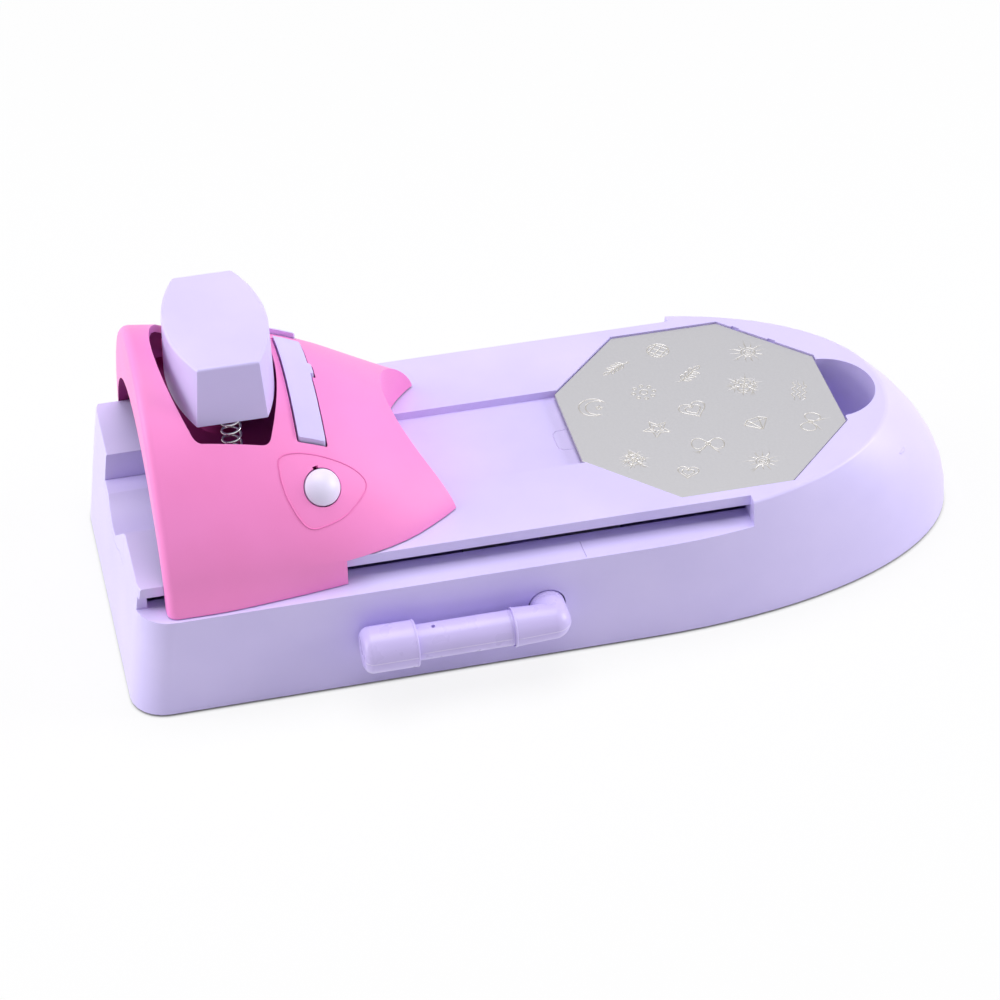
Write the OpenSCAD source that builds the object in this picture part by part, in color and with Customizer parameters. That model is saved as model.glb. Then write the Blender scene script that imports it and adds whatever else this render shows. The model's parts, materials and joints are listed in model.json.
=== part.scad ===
// Nail art printer: a sliding stamp carriage on a long base, driven by a side crank.
// Origin at the middle of the base's underside, +X towards the rounded nose, +Z up, millimetres.

/* [Base] */
// Overall length of the base
base_l = 255.4; // [253:0.1:275]
// Overall width of the base at its foot
base_w = 104; // [103:0.5:110]
// Height of the deck above the base's bottom edge
deck_h = 40.2; // [40:0.1:44]
// How far the side ledges lie below the deck
ledge_drop = 7.8; // [7.4:0.1:8.5]
// Wall of the base moulding
base_wall = 2.4; // [2:0.1:3]
// Thickness of the deck's lips
lip_t = 3.3; // [3:0.1:3.6]
// Width of the side ledges, from the foot of the base to the lip's edge
ledge_w = 7.9; // [7:0.1:8.4]
// How far the lips hang over the slots
lip_reach = 4.1; // [3.6:0.1:4.6]
// Thickness of the side ledges
ledge_t = 2.2; // [1.8:0.1:2.6]
// Length of the rounded nose, from its centre to its tip
nose_l = 105.6; // [104:0.1:110]
// How far the nose leans back from bottom to top
nose_lean = 21.2; // [18:0.1:24]
// How far the left end wall leans in from bottom to top
end_lean = 4.9; // [3:0.1:6]
// Corner radius of the left end in plan
corner_r = 10; // [6:0.5:14]
// Soft edge of the nose's rim
rim_r = 0.8; // [0.6:0.1:1.5]
// Distance of the slots' right end from the nose's centre
stop_dx = 31.1; // [31:0.1:36]
// Height of the rubber feet below the base
foot_h = 0.8; // [0.5:0.1:1.5]
// Diameter of the rubber feet
foot_d = 12; // [8:0.5:14]
// Thickness of the bottom cover
cover_t = 2; // [2:0.1:2.2]

/* [Plate] */
// Distance of the plate's side from the base's side
plate_margin = 12; // [11.5:0.1:14]
// Thickness of the plate
plate_t = 1; // [0.6:0.1:1.2]
// Place of the plate's centre from the nose's centre
plate_dx = 28.6; // [28:0.1:29]
// How far the plate's face lies below the deck
plate_drop = 0.4; // [0.2:0.1:0.6]
// Radius of the thumb pocket
pocket_r = 14.5; // [12:0.1:15]
// Depth of the thumb pocket
pocket_depth = 24; // [20:0.5:26]
// Height of the thumb pocket's steep wall
pocket_wall = 20; // [16:0.5:20]
// Half width of the sunk track
track_y = 18; // [16:0.1:19]
// Depth of the sunk track
track_depth = 2.5; // [2:0.1:2.7]

/* [Finger rest] */
// Length of the finger channel from the left end
channel_l = 51.7; // [51:0.1:52.5]
// Half width of the finger channel
channel_y = 18.8; // [18.3:0.1:20]
// Depth of the rest's ledges below the deck
rest_drop = 8.9; // [8:0.1:9.5]
// Radius of the finger trough
trough_r = 20.4; // [18:0.1:22]
// Height of the trough's centre above the rest's ledges
trough_dz = 16.5; // [15:0.1:17.5]
// Wall of the finger rest
rest_wall = 2; // [1.6:0.1:2.4]

/* [Carriage] */
// Distance of the carriage's end face from the base's left end
shell_x = 12.1; // [12:0.1:12.6]
// Length of the carriage's feet beside the lips
shell_foot_l = 51.3; // [50:0.1:53]
// Height of the shell's crest above the deck at its end face
crest_h = 50.4; // [49:0.1:54]
// How far the shell's sides stand beyond the lips at deck height
shell_side = 3.9; // [3.6:0.1:4.2]
// How far the feet flare out below the deck
foot_flare = 2.3; // [1.5:0.1:2.6]
// Wall of the carriage shell
shell_wall = 2.2; // [1.8:0.1:2.4]
// Thickness of the shell's end wall
shell_end_t = 2.8; // [2.4:0.1:3.2]
// Edge radius of the shell's end
shell_edge_r = 2.8; // [2:0.1:3]
// Radius of the swallow-tail opening in plan
tail_r = 38.7; // [36:0.1:42]
// Place of the tail's inner edge from the shell's end face
tail_dx = 71.6; // [71:0.1:73]
// Thickness of the end wall beside its arch
arch_side = 4; // [3.5:0.1:6]
// Height of the arch above the deck
arch_h = 29.5; // [28:0.1:33]
// Gap between the moving carriage and the base
run_gap = 0.4; // [0.3:0.05:0.5]

/* [Knob and stamp] */
// Distance of the stamp's axis from the shell's end face
stamp_dx = 25.1; // [24.8:0.1:25.5]
// Height of the knob
knob_h = 19; // [17:0.1:21]
// Height of the knob's top above the deck
knob_top_dz = 55.8; // [55:0.1:60]
// Half length of the knob's top
knob_y = 22.9; // [21:0.1:23.2]
// Half width of the knob at the middle of its top
knob_x = 14.6; // [13:0.1:14.8]
// How much narrower the knob is at its ends
knob_bow = 6; // [4:0.1:6.5]
// Edge radius of the knob's top
knob_edge_r = 0.9; // [0.5:0.1:1.5]
// Wall of the knob
knob_wall = 2; // [1.6:0.1:2.4]
// Stroke of the stamp
stroke = 10; // [8:0.1:10.2]
// Diameter of the stamp's stem
stem_d = 9; // [8:0.1:9.6]
// Height of the stamp bridge's face above the deck
bridge_dz = 21; // [20.8:0.1:21.4]
// Thickness of the stamp bridge
bridge_t = 2.5; // [2:0.1:2.8]
// Diameter of the stamp's pad
pad_d = 22; // [18:0.5:24]
// Height of the stamp's pad, in and below its holder
pad_t = 5.5; // [5:0.1:6]
// Distance of each stamp spring from the stem's axis
spring_y = 19; // [18:0.1:19.5]
// Outer diameter of the stamp springs
spring_d = 6; // [5.5:0.1:6.4]
// Wire of the stamp springs
spring_wire = 0.75; // [0.6:0.05:0.8]
// Curls of each stamp spring
spring_turns = 5; // [3:1:6]

/* [Scraper] */
// Distance of the scraper's middle line from the shell's end face
scraper_dx = 46.45; // [46.2:0.05:46.7]
// Width of the scraper pads along the base
scraper_w = 7.5; // [7:0.1:7.9]
// Gap between the scraper pads and their window
window_gap = 0.5; // [0.4:0.05:0.6]
// Stroke of the scraper
scraper_stroke = 2.2; // [1.5:0.1:2.3]
// How far the near pad stands above the shell
pad_proud = 1; // [0.6:0.1:1.4]
// How far the far pad stands above the shell
far_proud = 1.7; // [1:0.1:2]
// Length of the scraper's blade
blade_l = 38; // [30:0.5:39]
// Thickness of the scraper's blade
blade_t = 0.6; // [0.4:0.05:0.8]
// Wire of the scraper springs
scraper_wire = 0.5; // [0.4:0.05:0.55]
// Outer diameter of the scraper springs
scraper_spring_d = 4; // [3.6:0.1:4.4]

/* [Side buttons] */
// Diameter of the side buttons
button_d = 10.4; // [9.6:0.1:10.6]
// Radius of the buttons' domed faces
button_dome_r = 6.8; // [6.2:0.1:12]
// Height of the dome's crown above the shell
button_proud = 2.5; // [1.2:0.1:2.8]
// Travel of the side buttons
button_travel = 1.8; // [1:0.1:1.8]
// Distance of the buttons' axis from the shell's end face
button_dx = 47.2; // [46:0.1:48]
// Distance of the buttons' centres in from the shell's sides
button_in = 12.3; // [12:0.1:12.8]
// Height of the buttons above the deck
button_dz = 19.5; // [19:0.1:20]

/* [Crank] */
// Distance of the crank's shaft from the nose's centre
crank_dx = 30.6; // [30:0.1:31]
// Height of the crank's shaft above the bottom edge
crank_h = 18.1; // [17.9:0.1:18.3]
// Diameter of the crank's round bars
crank_d = 10.2; // [9.6:0.1:10.4]
// Distance of the crank's arm from the base's side
arm_gap = 6.9; // [6.9:0.1:10]
// Length of the elbow from the shaft's axis
elbow_l = 11.5; // [9:0.1:13]
// Length of the arm beyond the elbow
arm_l = 28; // [24:0.1:30]
// Length of the cap
cap_l = 15.5; // [12:0.1:17]
// Diameter of the cap
cap_d = 13.3; // [12:0.1:13.3]

/* [Gears] */
// Module of the gears and the rack
gear_m = 0.8; // [0.8:0.01:0.81]
// Teeth of the large gears
gear_z = 30; // [30:1:30]
// Teeth of the pinion
pinion_z = 10; // [10:1:10]
// Width of the rack and its gear
rack_w = 5.6; // [4:0.1:5.6]
// Diameter of the idler's axle
axle_d = 3; // [2.5:0.1:3.2]

/* [Fasteners] */
// Shank diameter of the screws
screw_d = 2.4; // [2:0.1:2.6]
// Head diameter of the screws
head_d = 4.4; // [4:0.1:4.8]
// Height of the screw heads
head_h = 1.3; // [1:0.1:1.4]

/* [Hidden] */
$fn = 48;

lavender = [0.80, 0.76, 0.93];
knob_lavender = [0.84, 0.81, 0.96];
pink = [0.95, 0.52, 0.76];
steel = [0.75, 0.75, 0.77];
off_white = [0.92, 0.91, 0.93];
rubber_grey = [0.35, 0.35, 0.38];

// Clearances: a turning fit, a still fit, and a reach that passes right through a cut
turn_gap = 0.06;
still_gap = 0.03;
seat_gap = 0.05;
reach = 10;

// Heights
base_z = foot_h;
deck_z = base_z + deck_h;
ledge_z = deck_z - ledge_drop;
lip_z = deck_z - lip_t;
track_z = deck_z - track_depth;
deck_under_z = track_z - 1.8;
cover_z = base_z + cover_t;
rest_z = deck_z - rest_drop;
bridge_z = deck_z + bridge_dz;
knob_top_z = deck_z + knob_top_dz;
knob_z = knob_top_z - knob_h;
crank_z = base_z + crank_h;

// Places across the base
lip_y = base_w / 2 - ledge_w;
slot_inner_y = lip_y - lip_reach;
plate_af = base_w - 2 * plate_margin;
shell_half_w = lip_y + shell_side;
arch_w = shell_half_w - arch_side;
button_y = shell_half_w - button_in;
slider_y = shell_half_w - 1;
bridge_y = shell_half_w - 14;

// Places along the base
end_x = -base_l / 2;
nose_x = base_l / 2 - nose_l;
stop_x = nose_x + stop_dx;
plate_x = nose_x + plate_dx;
pocket_x = plate_x + plate_af / 2 - 0.9;
channel_x = end_x + channel_l;
shell_end_x = end_x + shell_x;
stamp_x = shell_end_x + stamp_dx;
scraper_x = shell_end_x + scraper_dx;
button_x = shell_end_x + button_dx;
tail_x = shell_end_x + tail_dx;
foot_end_x = shell_end_x + shell_foot_l;
crank_x = nose_x - crank_dx;
arm_y = base_w / 2 + arm_gap;

// Outline of the base at height h above its bottom edge, drawn in by inset
side_drop = 1.6;
nose_power = 2.1;
nose_steps = 22;
corner_steps = 6;
function side_half(h) = base_w / 2 - side_drop * pow(max(h, 0) / deck_h, 3.8);
function nose_half(h) = nose_l - nose_lean * pow(max(h, 0) / deck_h, 2.15);
function left_x(h) = end_x + end_lean * h / deck_h;
function half_ring(h, inset, end_inset) = let(
    a = nose_half(h) - inset,
    b = side_half(h) - inset,
    r = max(corner_r - inset, 2),
    x0 = left_x(h) + end_inset)
    concat(
        [for (i = [0:nose_steps]) let(t = 90 * i / nose_steps)
            [nose_x + a * pow(cos(t), 2 / nose_power), b * pow(sin(t), 2 / nose_power)]],
        [for (i = [0:corner_steps]) let(t = 90 * i / corner_steps)
            [x0 + r - r * sin(t), b - r + r * cos(t)]]);
function base_ring(h, inset, end_share = 1) = let(
    half = half_ring(h, inset, inset * end_share),
    n = len(half))
    concat(half, [for (i = [n - 1:-1:1]) [half[i][0], -half[i][1]]]);

// Closed skin over a stack of rings that all have the same count of points
module loft(rings) {
    n = len(rings[0]);
    m = len(rings);
    polyhedron(
        points = [for (ring = rings) each ring],
        faces = concat(
            [[for (i = [0:n - 1]) i]],
            [for (k = [0:m - 2]) for (i = [0:n - 1]) let(j = (i + 1) % n)
                each [
                    [k * n + j, k * n + i, (k + 1) * n + j],
                    [(k + 1) * n + j, k * n + i, (k + 1) * n + i]]],
            [[for (i = [n - 1:-1:0]) (m - 1) * n + i]]),
        convexity = 8);
}

function lifted(ring, z) = [for (p = ring) [p[0], p[1], z]];

// Body of the base between two heights above its bottom edge
module base_body(h0, h1, inset) {
    steps = 6;
    loft([for (k = [0:steps]) let(h = h0 + (h1 - h0) * k / steps) lifted(base_ring(h, inset), base_z + h)]);
}

// Outer body with its soft rim, which is sharper at the left end by this share
rim_end_share = 0.3;
module base_outer() {
    body_steps = 6;
    rim_steps = 3;
    loft(concat(
        [for (k = [0:body_steps]) let(h = (deck_h - rim_r) * k / body_steps)
            lifted(base_ring(h, 0), base_z + h)],
        [for (k = [1:rim_steps]) let(t = 90 * k / rim_steps, h = deck_h - rim_r + rim_r * sin(t))
            lifted(base_ring(h, rim_r * (1 - cos(t)), rim_end_share), base_z + h)]));
}

// Block between two corners
module block(a, b) {
    translate(a) cube(b - a);
}

// Prism along X with its profile given in Y and Z
module along_x(x0, x1) {
    translate([x0, 0, 0]) rotate([90, 0, 90]) linear_extrude(x1 - x0) children();
}

// Round bar along +Y from y0 to y1
module bar_y(x, z, d, y0, y1) {
    translate([x, y0, z]) rotate([-90, 0, 0]) cylinder(d = d, h = y1 - y0);
}

// Screw with its head's face at z = 0 and its shank pointing up
module screw(length) {
    difference() {
        union() {
            cylinder(d = head_d, h = head_h);
            cylinder(d = screw_d, h = length);
        }
        translate([0, 0, -1]) cylinder(d = 1.6, h = 1.7, $fn = 6);
    }
}

// Screw places
boss_d = 6.4;
boss_sink = 0.6;
cover_screw_y = side_half(0) - base_wall - boss_d / 2 + boss_sink;
cover_screw_dx = [6, -30, 14];
nose_screw_y = 22;
cover_spots = [
    [shell_end_x + cover_screw_dx[0], cover_screw_y],
    [crank_x + cover_screw_dx[1], cover_screw_y],
    [stop_x, slot_inner_y + boss_d / 2 - 1.2],
    [pocket_x + cover_screw_dx[2], nose_screw_y]];
foot_dx = [20, 18];
foot_in = [16, 18];
foot_spots = [[end_x + foot_dx[0], base_w / 2 - foot_in[0]], [plate_x + foot_dx[1], base_w / 2 - foot_in[1]]];
rest_screw_dx = [38, 8];
rest_screw_y = channel_y + 3;
rest_spots = [for (dx = rest_screw_dx) [channel_x - dx, rest_screw_y]];
gearbox_screw_dx = [-8, 24];
gearbox_screw_y = -18;
gearbox_spots = [for (dx = gearbox_screw_dx) [crank_x + dx, gearbox_screw_y]];
rack_screw_dx = 3.5;
rack_screw_y = 11.5;
rack_spots = [for (dx = [-rack_screw_dx, rack_screw_dx]) [scraper_x + dx, rack_screw_y]];
bridge_screw_dx = 9;
bridge_spots = [for (dx = [-bridge_screw_dx, bridge_screw_dx]) [stamp_x + dx, bridge_y - 3]];

module both_sides() {
    children();
    mirror([0, 1, 0]) children();
}

// Sloping flank on the near side of the finger rest's trough, drawn out by grow
ramp_foot = 3;
module near_ramp(grow) {
    foot_z = rest_z + trough_dz - sqrt(pow(trough_r, 2) - pow(ramp_foot, 2));
    side_y = channel_y - seat_gap * 2 + grow;
    polygon([[-side_y, rest_z - rest_wall / 2], [-side_y, deck_z - 0.5], [-side_y + 1, deck_z - 0.5],
        [-ramp_foot, foot_z], [-ramp_foot, foot_z - rest_wall / 2]]);
}

// The finger rest's profile, drawn out by grow
module rest_profile(grow) {
    cz = rest_z + trough_dz;
    near_ramp(grow);
    translate([-channel_y + seat_gap * 2 - grow, rest_z - rest_wall - grow])
        square([2 * (channel_y - seat_gap * 2 + grow), rest_wall + 2 * grow]);
    intersection() {
        translate([0, cz]) circle(r = trough_r + rest_wall + grow, $fn = 72);
        translate([-channel_y, 0]) square([2 * channel_y, rest_z]);
    }
}

module plate_outline(gap) {
    rotate(22.5) circle(r = (plate_af / 2 + gap) / cos(22.5), $fn = 8);
}

// Rounded floor and steep sides of the thumb pocket, grown by a skin
pocket_draft = 0.06;
module pocket_bowl(skin) {
    floor_r = pocket_r - pocket_wall * pocket_draft;
    rise = pocket_depth - pocket_wall;
    ball = (pow(floor_r, 2) + pow(rise, 2)) / (2 * rise);
    translate([pocket_x, 0, deck_z - pocket_depth + ball]) sphere(r = ball + skin, $fn = 72);
}
module pocket_sides(skin) {
    low = pocket_depth + skin + 1;
    translate([pocket_x, 0, deck_z - low])
        cylinder(r1 = pocket_r + skin - low * pocket_draft, r2 = pocket_r + skin + pocket_draft,
            h = low + 1, $fn = 72);
}

// Lavender base moulding: walls, ledges, lipped deck, plate recess and thumb pocket
plate_gap = 0.4;
post_inset = 1.2;
module base_shell() {
    thick_y = 28;
    skin = 1.8;
    hidden_h = ledge_z - ledge_t - base_z;
    color(lavender) difference() {
        union() {
            difference() {
                base_outer();
                base_body(-1, hidden_h, base_wall);
                intersection() {
                    base_body(hidden_h - 1, deck_h, base_wall);
                    union() {
                        block([end_x, -thick_y, 0], [base_l, thick_y, deck_under_z]);
                        both_sides() block([end_x, thick_y, 0], [stop_x, slot_inner_y, lip_z]);
                        block([stop_x - 1, -slot_inner_y, 0], [base_l, slot_inner_y, deck_under_z]);
                        block([stop_x + base_wall, -base_w, 0], [base_l, base_w, deck_under_z]);
                    }
                }
                both_sides() {
                    block([end_x - reach, lip_y, ledge_z], [stop_x, base_w, deck_z + reach]);
                    block([left_x(deck_h) + base_wall, slot_inner_y - 1, ledge_z], [stop_x, base_w, lip_z]);
                    // Face of the slot's end post, set back under the lip
                    block([end_x - reach, lip_y - post_inset, ledge_z],
                        [left_x(deck_h) + base_wall + 1, base_w, lip_z]);
                }
            }
            // Cheeks and inner end of the finger channel
            both_sides() block([left_x(deck_h) + 1, channel_y, rest_z - rest_wall],
                [channel_x + base_wall, channel_y + base_wall, deck_under_z + 0.5]);
            block([channel_x, -channel_y - 1, rest_z - rest_wall],
                [channel_x + base_wall - 0.4, channel_y + 1, deck_under_z + 0.5]);
            // Blocks that take the rest's screws
            both_sides() for (p = rest_spots)
                translate([p[0], p[1], rest_z - rest_wall]) cylinder(d = boss_d, h = 7);
            // Bosses for the bottom cover
            both_sides() for (p = cover_spots) translate([p[0], p[1], cover_z])
                cylinder(d = boss_d, h = ledge_z - 1 - cover_z);
            // Skin under the thumb pocket
            intersection() {
                pocket_bowl(skin);
                pocket_sides(skin);
                block([end_x, -thick_y, 0], [base_l, thick_y, deck_under_z + 0.5]);
            }
        }
        // Sunk track from the finger channel to the plate
        block([channel_x - 1, -track_y, track_z], [plate_x, track_y, deck_z + reach]);
        // Plate recess with its clip notches
        translate([plate_x, 0, deck_z - plate_drop - plate_t]) linear_extrude(reach) plate_outline(plate_gap);
        for (d = [-3.5, 9])
            translate([plate_x, 0, deck_z - plate_drop - plate_t])
                rotate([0, 0, 45]) translate([plate_af / 2, d, 0]) cube([0.9, 2.6, reach]);
        // Thumb pocket
        intersection() {
            pocket_bowl(0);
            pocket_sides(0);
        }
        // Finger channel and the rest's seat in the end wall
        block([end_x - reach, -channel_y, rest_z - rest_wall], [channel_x, channel_y, deck_z + reach]);
        along_x(end_x - reach, channel_x + 0.5) rest_profile(seat_gap * 2);
        // Crank hole
        bar_y(crank_x, crank_z, crank_d + 0.8, -base_w, -base_w / 2 + 8);
        // Pilot holes
        both_sides() for (p = cover_spots)
            translate([p[0], p[1], cover_z - 1]) cylinder(d = screw_d + 2 * still_gap, h = 11);
        both_sides() for (p = rest_spots)
            translate([p[0], p[1], rest_z - rest_wall - 1]) cylinder(d = screw_d + 2 * still_gap, h = 6);
    }
}

// Stepped insert with the trough under the finger, screwed up against the channel's cheeks
flange_t = 2;
module finger_rest() {
    cz = rest_z + trough_dz;
    lean = atan(end_lean / deck_h);
    color(lavender) difference() {
        union() {
            along_x(end_x, channel_x - seat_gap * 2) rest_profile(0);
            both_sides() block([channel_x - 43, channel_y - 2, rest_z - rest_wall - flange_t],
                [channel_x - 3, channel_y + 7, rest_z - rest_wall]);
        }
        along_x(end_x - 1, channel_x - rest_wall) difference() {
            translate([0, cz]) circle(r = trough_r, $fn = 72);
            near_ramp(0);
        }
        // Left end follows the lean of the base's end wall
        translate([end_x, 0, base_z]) rotate([0, lean, 0])
            translate([-2 * reach, -channel_y - 1, -1]) cube([2 * reach, 2 * channel_y + 2, deck_h + 2]);
        both_sides() for (p = rest_spots)
            translate([p[0], p[1], rest_z - rest_wall - flange_t - 1])
                cylinder(d = screw_d + 4 * still_gap, h = flange_t + 2);
    }
}

module rest_screws() {
    color(steel) both_sides() for (p = rest_spots)
        translate([p[0], p[1], rest_z - rest_wall - flange_t - head_h]) screw(head_h + flange_t + 4);
}

// Cover that closes the base from below, with sockets for the feet and a guide for the rack
rack_y0 = 0.2;
rack_bottom = 1.1;
guide_gap = 0.2;
module bottom_cover() {
    color(lavender) difference() {
        union() {
            translate([0, 0, base_z]) linear_extrude(cover_t)
                polygon(base_ring(cover_t, base_wall + 0.15));
            block([shell_end_x + 8, rack_y0 - guide_gap - 1.5, base_z],
                [pocket_x + 20, rack_y0 - guide_gap, cover_z + 3]);
            block([shell_end_x + 8, rack_y0 + 1, base_z],
                [pocket_x + 20, rack_y0 + 3, cover_z + rack_bottom - 0.1]);
        }
        both_sides() for (p = cover_spots) translate([p[0], p[1], base_z - 1]) {
            cylinder(d = screw_d + 4 * still_gap, h = cover_t + 2);
            cylinder(d = head_d + 0.3, h = 1 + 0.9);
        }
        for (p = gearbox_spots) translate([p[0], p[1], base_z - 1]) {
            cylinder(d = screw_d + 4 * still_gap, h = cover_t + 2);
            cylinder(d = head_d + 0.3, h = 1 + 0.9);
        }
        both_sides() for (p = foot_spots) translate([p[0], p[1], base_z - 1])
            cylinder(d = foot_d + 0.1, h = 1 + 0.6);
        translate([0, 0, base_z - 1]) cylinder(d = foot_d + 0.1, h = 1 + 0.6);
    }
}

module rubber_feet() {
    color(rubber_grey) {
        both_sides() for (p = foot_spots)
            translate([p[0], p[1], 0]) cylinder(d = foot_d, h = foot_h + 0.6);
        cylinder(d = foot_d, h = foot_h + 0.6);
    }
}

module sunk_screw(length) {
    difference() {
        union() {
            cylinder(d = head_d, h = 0.9);
            cylinder(d = screw_d, h = length);
        }
        translate([0, 0, -1]) cylinder(d = 1.6, h = 1.5, $fn = 6);
    }
}

module cover_screws() {
    color(steel) both_sides() for (p = cover_spots)
        translate([p[0], p[1], base_z]) sunk_screw(cover_t + 8);
}

module gearbox_screws() {
    color(steel) for (p = gearbox_spots) translate([p[0], p[1], base_z]) sunk_screw(cover_t + 5);
}

// Gear sizes, and the planes that the wheels turn in
pressure = 20;
gear_r = gear_m * gear_z / 2;
pinion_r = gear_m * pinion_z / 2;
idler_x = crank_x + gear_r + pinion_r;
rack_pitch_z = crank_z - gear_r;
gear_add = 0.62 * gear_m;
gear_ded = 1.2 * gear_m;
pinion_add = 0.85 * gear_m;
flank_gap = 0.2;
travel = gear_r * 3 * PI;
crank_gear_w = 6;
crank_gear_y = -7.5;
pinion_w = 7;
pinion_y = -8;
near_plate_y = -13;
plate_wall = 2.5;
far_plate_y = rack_y0 + rack_w + 2.7;
gearbox_x0 = crank_x - gear_r - 3.5;
gearbox_x1 = idler_x + gear_r + 4;
gearbox_top = crank_z + gear_r + 2.1;

function inv(a) = tan(a) * 180 / PI - a;
// Half angle of a tooth at radius r on a wheel with z teeth
function tooth_half(r, z) = let(
    rp = gear_m * z / 2,
    rb = rp * cos(pressure),
    at = acos(min(1, rb / max(r, rb))))
    90 / z - flank_gap / 2 / rp * 180 / PI + inv(pressure) - inv(at);
function polar(r, a) = [r * cos(a), r * sin(a)];

// Wheel with involute teeth, one tooth centred on the angle given
module wheel(z, add, ded, turn) {
    rp = gear_m * z / 2;
    rb = rp * cos(pressure);
    radii = [rp - ded, max(rb, rp - ded + 0.1), rp, rp + add];
    step = 360 / z;
    polygon([for (k = [0:z - 1]) let(a = turn + k * step) each concat(
        [polar(rp - ded, a - step / 2)],
        [for (r = radii) polar(r, a - tooth_half(r, z))],
        [for (i = [3:-1:0]) polar(radii[i], a + tooth_half(radii[i], z))])]);
}

// Turns a flat profile up into the X-Z plane, from y0 for the width given
module upright(x, z, y0, width) {
    translate([x, y0 + width, z]) rotate([90, 0, 0]) linear_extrude(width) children();
}

module gearbox_frame() {
    hang_z = crank_z - gear_r + 3.1;
    far_y1 = far_plate_y + plate_wall;
    color(off_white) difference() {
        union() {
            block([gearbox_x0, near_plate_y, cover_z], [gearbox_x1, near_plate_y + plate_wall, gearbox_top]);
            block([gearbox_x0, far_plate_y, hang_z], [gearbox_x1, far_y1, gearbox_top]);
            for (x = [gearbox_x0, gearbox_x1 - plate_wall])
                block([x, near_plate_y, hang_z], [x + plate_wall, far_y1, gearbox_top]);
            for (p = gearbox_spots) translate([p[0], p[1], cover_z]) cylinder(d = boss_d, h = 6);
            for (p = gearbox_spots)
                block([p[0] - 2, p[1], cover_z], [p[0] + 2, near_plate_y + 1, cover_z + 6]);
        }
        bar_y(crank_x, crank_z, crank_d + 2 * turn_gap, near_plate_y - 1, near_plate_y + plate_wall + 1);
        bar_y(crank_x, crank_z, shaft_end_d + 2 * turn_gap, far_plate_y - 1, far_y1 + 1);
        bar_y(idler_x, crank_z, axle_d + 2 * still_gap, near_plate_y - 1, far_y1 + 1);
        for (p = gearbox_spots)
            translate([p[0], p[1], cover_z - 1]) cylinder(d = screw_d + 2 * still_gap, h = 6);
    }
}

module idler_axle() {
    color(steel) bar_y(idler_x, crank_z, axle_d, near_plate_y - 0.5, far_plate_y + plate_wall + 0.5);
}

// Compound idler: the pinion meets the crank's gear, the large wheel drives the rack
module idler_gear() {
    hub_d = 2 * (pinion_r - gear_ded) - 0.5;
    color(off_white) difference() {
        union() {
            upright(idler_x, crank_z, pinion_y, pinion_w)
                wheel(pinion_z, pinion_add, gear_ded, 180 / pinion_z);
            upright(idler_x, crank_z, rack_y0, rack_w) wheel(gear_z, gear_add, gear_ded, 0);
            bar_y(idler_x, crank_z, hub_d, near_plate_y + plate_wall + 0.3, far_plate_y - 0.3);
        }
        bar_y(idler_x, crank_z, axle_d + 2 * turn_gap, near_plate_y, far_plate_y + 1);
    }
}

module pattern_plate() {
    color(steel) translate([plate_x, 0, deck_z - plate_drop - plate_t]) linear_extrude(plate_t)
        plate_outline(0);
}

// Stations of the carriage shell: distance from its end face, fall of the crest below crest_h,
// narrowing at deck height and narrowing of the foot's edge
shell_stations = [[0, 0, 0, 0], [3, 0.4, 0, 0], [16, 2.8, 0.1, 0], [31, 6.8, 0.7, 1.3], [45, 12.4, 1.2, 3],
    [57, 18.8, 3.2, 5], [70, 27.2, 7.4, 9], [79, 31.6, 12.7, 14], [86, 33.6, 17.9, 19], [92, 34.6, 23.4, 24]];

// Smooth value of column c at distance s along the stations
function seg(s, i = 0) = i >= len(shell_stations) - 2 || s < shell_stations[i + 1][0] ? i : seg(s, i + 1);
function slope(i, c) = let(
    a = shell_stations[max(i - 1, 0)],
    b = shell_stations[min(i + 1, len(shell_stations) - 1)])
    (b[c] - a[c]) / (b[0] - a[0]);
function station(s, c) = let(i = seg(s), p = shell_stations[i], q = shell_stations[i + 1], d = q[0] - p[0],
    t = (s - p[0]) / d)
    p[c] * (2 * pow(t, 3) - 3 * pow(t, 2) + 1) + q[c] * (3 * pow(t, 2) - 2 * pow(t, 3))
    + slope(i, c) * d * (pow(t, 3) - 2 * pow(t, 2) + t) + slope(i + 1, c) * d * (pow(t, 3) - pow(t, 2));

arch_power = 1.35;
arch_z = deck_z + 0.3;
section_steps = 14;
// Half section of the shell at distance s from its end face, as Y and Z, drawn in by inset
function half_section(s, inset) = let(
    high = crest_h - station(s, 1) - inset,
    wide = shell_half_w - station(s, 2) - inset,
    foot = shell_half_w + foot_flare - station(s, 3) - inset)
    concat([[foot, ledge_z + run_gap], [(foot + wide) / 2 + 0.1, (ledge_z + run_gap + arch_z) / 2]],
        [for (i = [0:section_steps]) let(t = 90 * i / section_steps)
            [wide * cos(t), arch_z + high * pow(sin(t), 2 / arch_power)]]);
function shell_section(s, inset) = let(half = half_section(s, inset), n = len(half))
    concat(half, [for (i = [n - 2:-1:0]) [-half[i][0], half[i][1]]]);

// Solid inside the shell's skin between two distances from its end face
module shell_body(s0, s1, inset, round_end) {
    edge_steps = round_end ? 4 : 0;
    edge = [for (i = [0:1:edge_steps - 1]) let(t = 90 * i / edge_steps)
        [s0 + shell_edge_r * (1 - cos(t)), inset + shell_edge_r * (1 - sin(t))]];
    from = round_end ? s0 + shell_edge_r : s0;
    count = 20;
    rows = concat(edge, [for (i = [0:count]) [from + (s1 - from) * i / count, inset]]);
    loft([for (row = rows) [for (p = shell_section(row[0], row[1])) [shell_end_x + row[0], p[0], p[1]]]]);
}

shell_l = 91;
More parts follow.
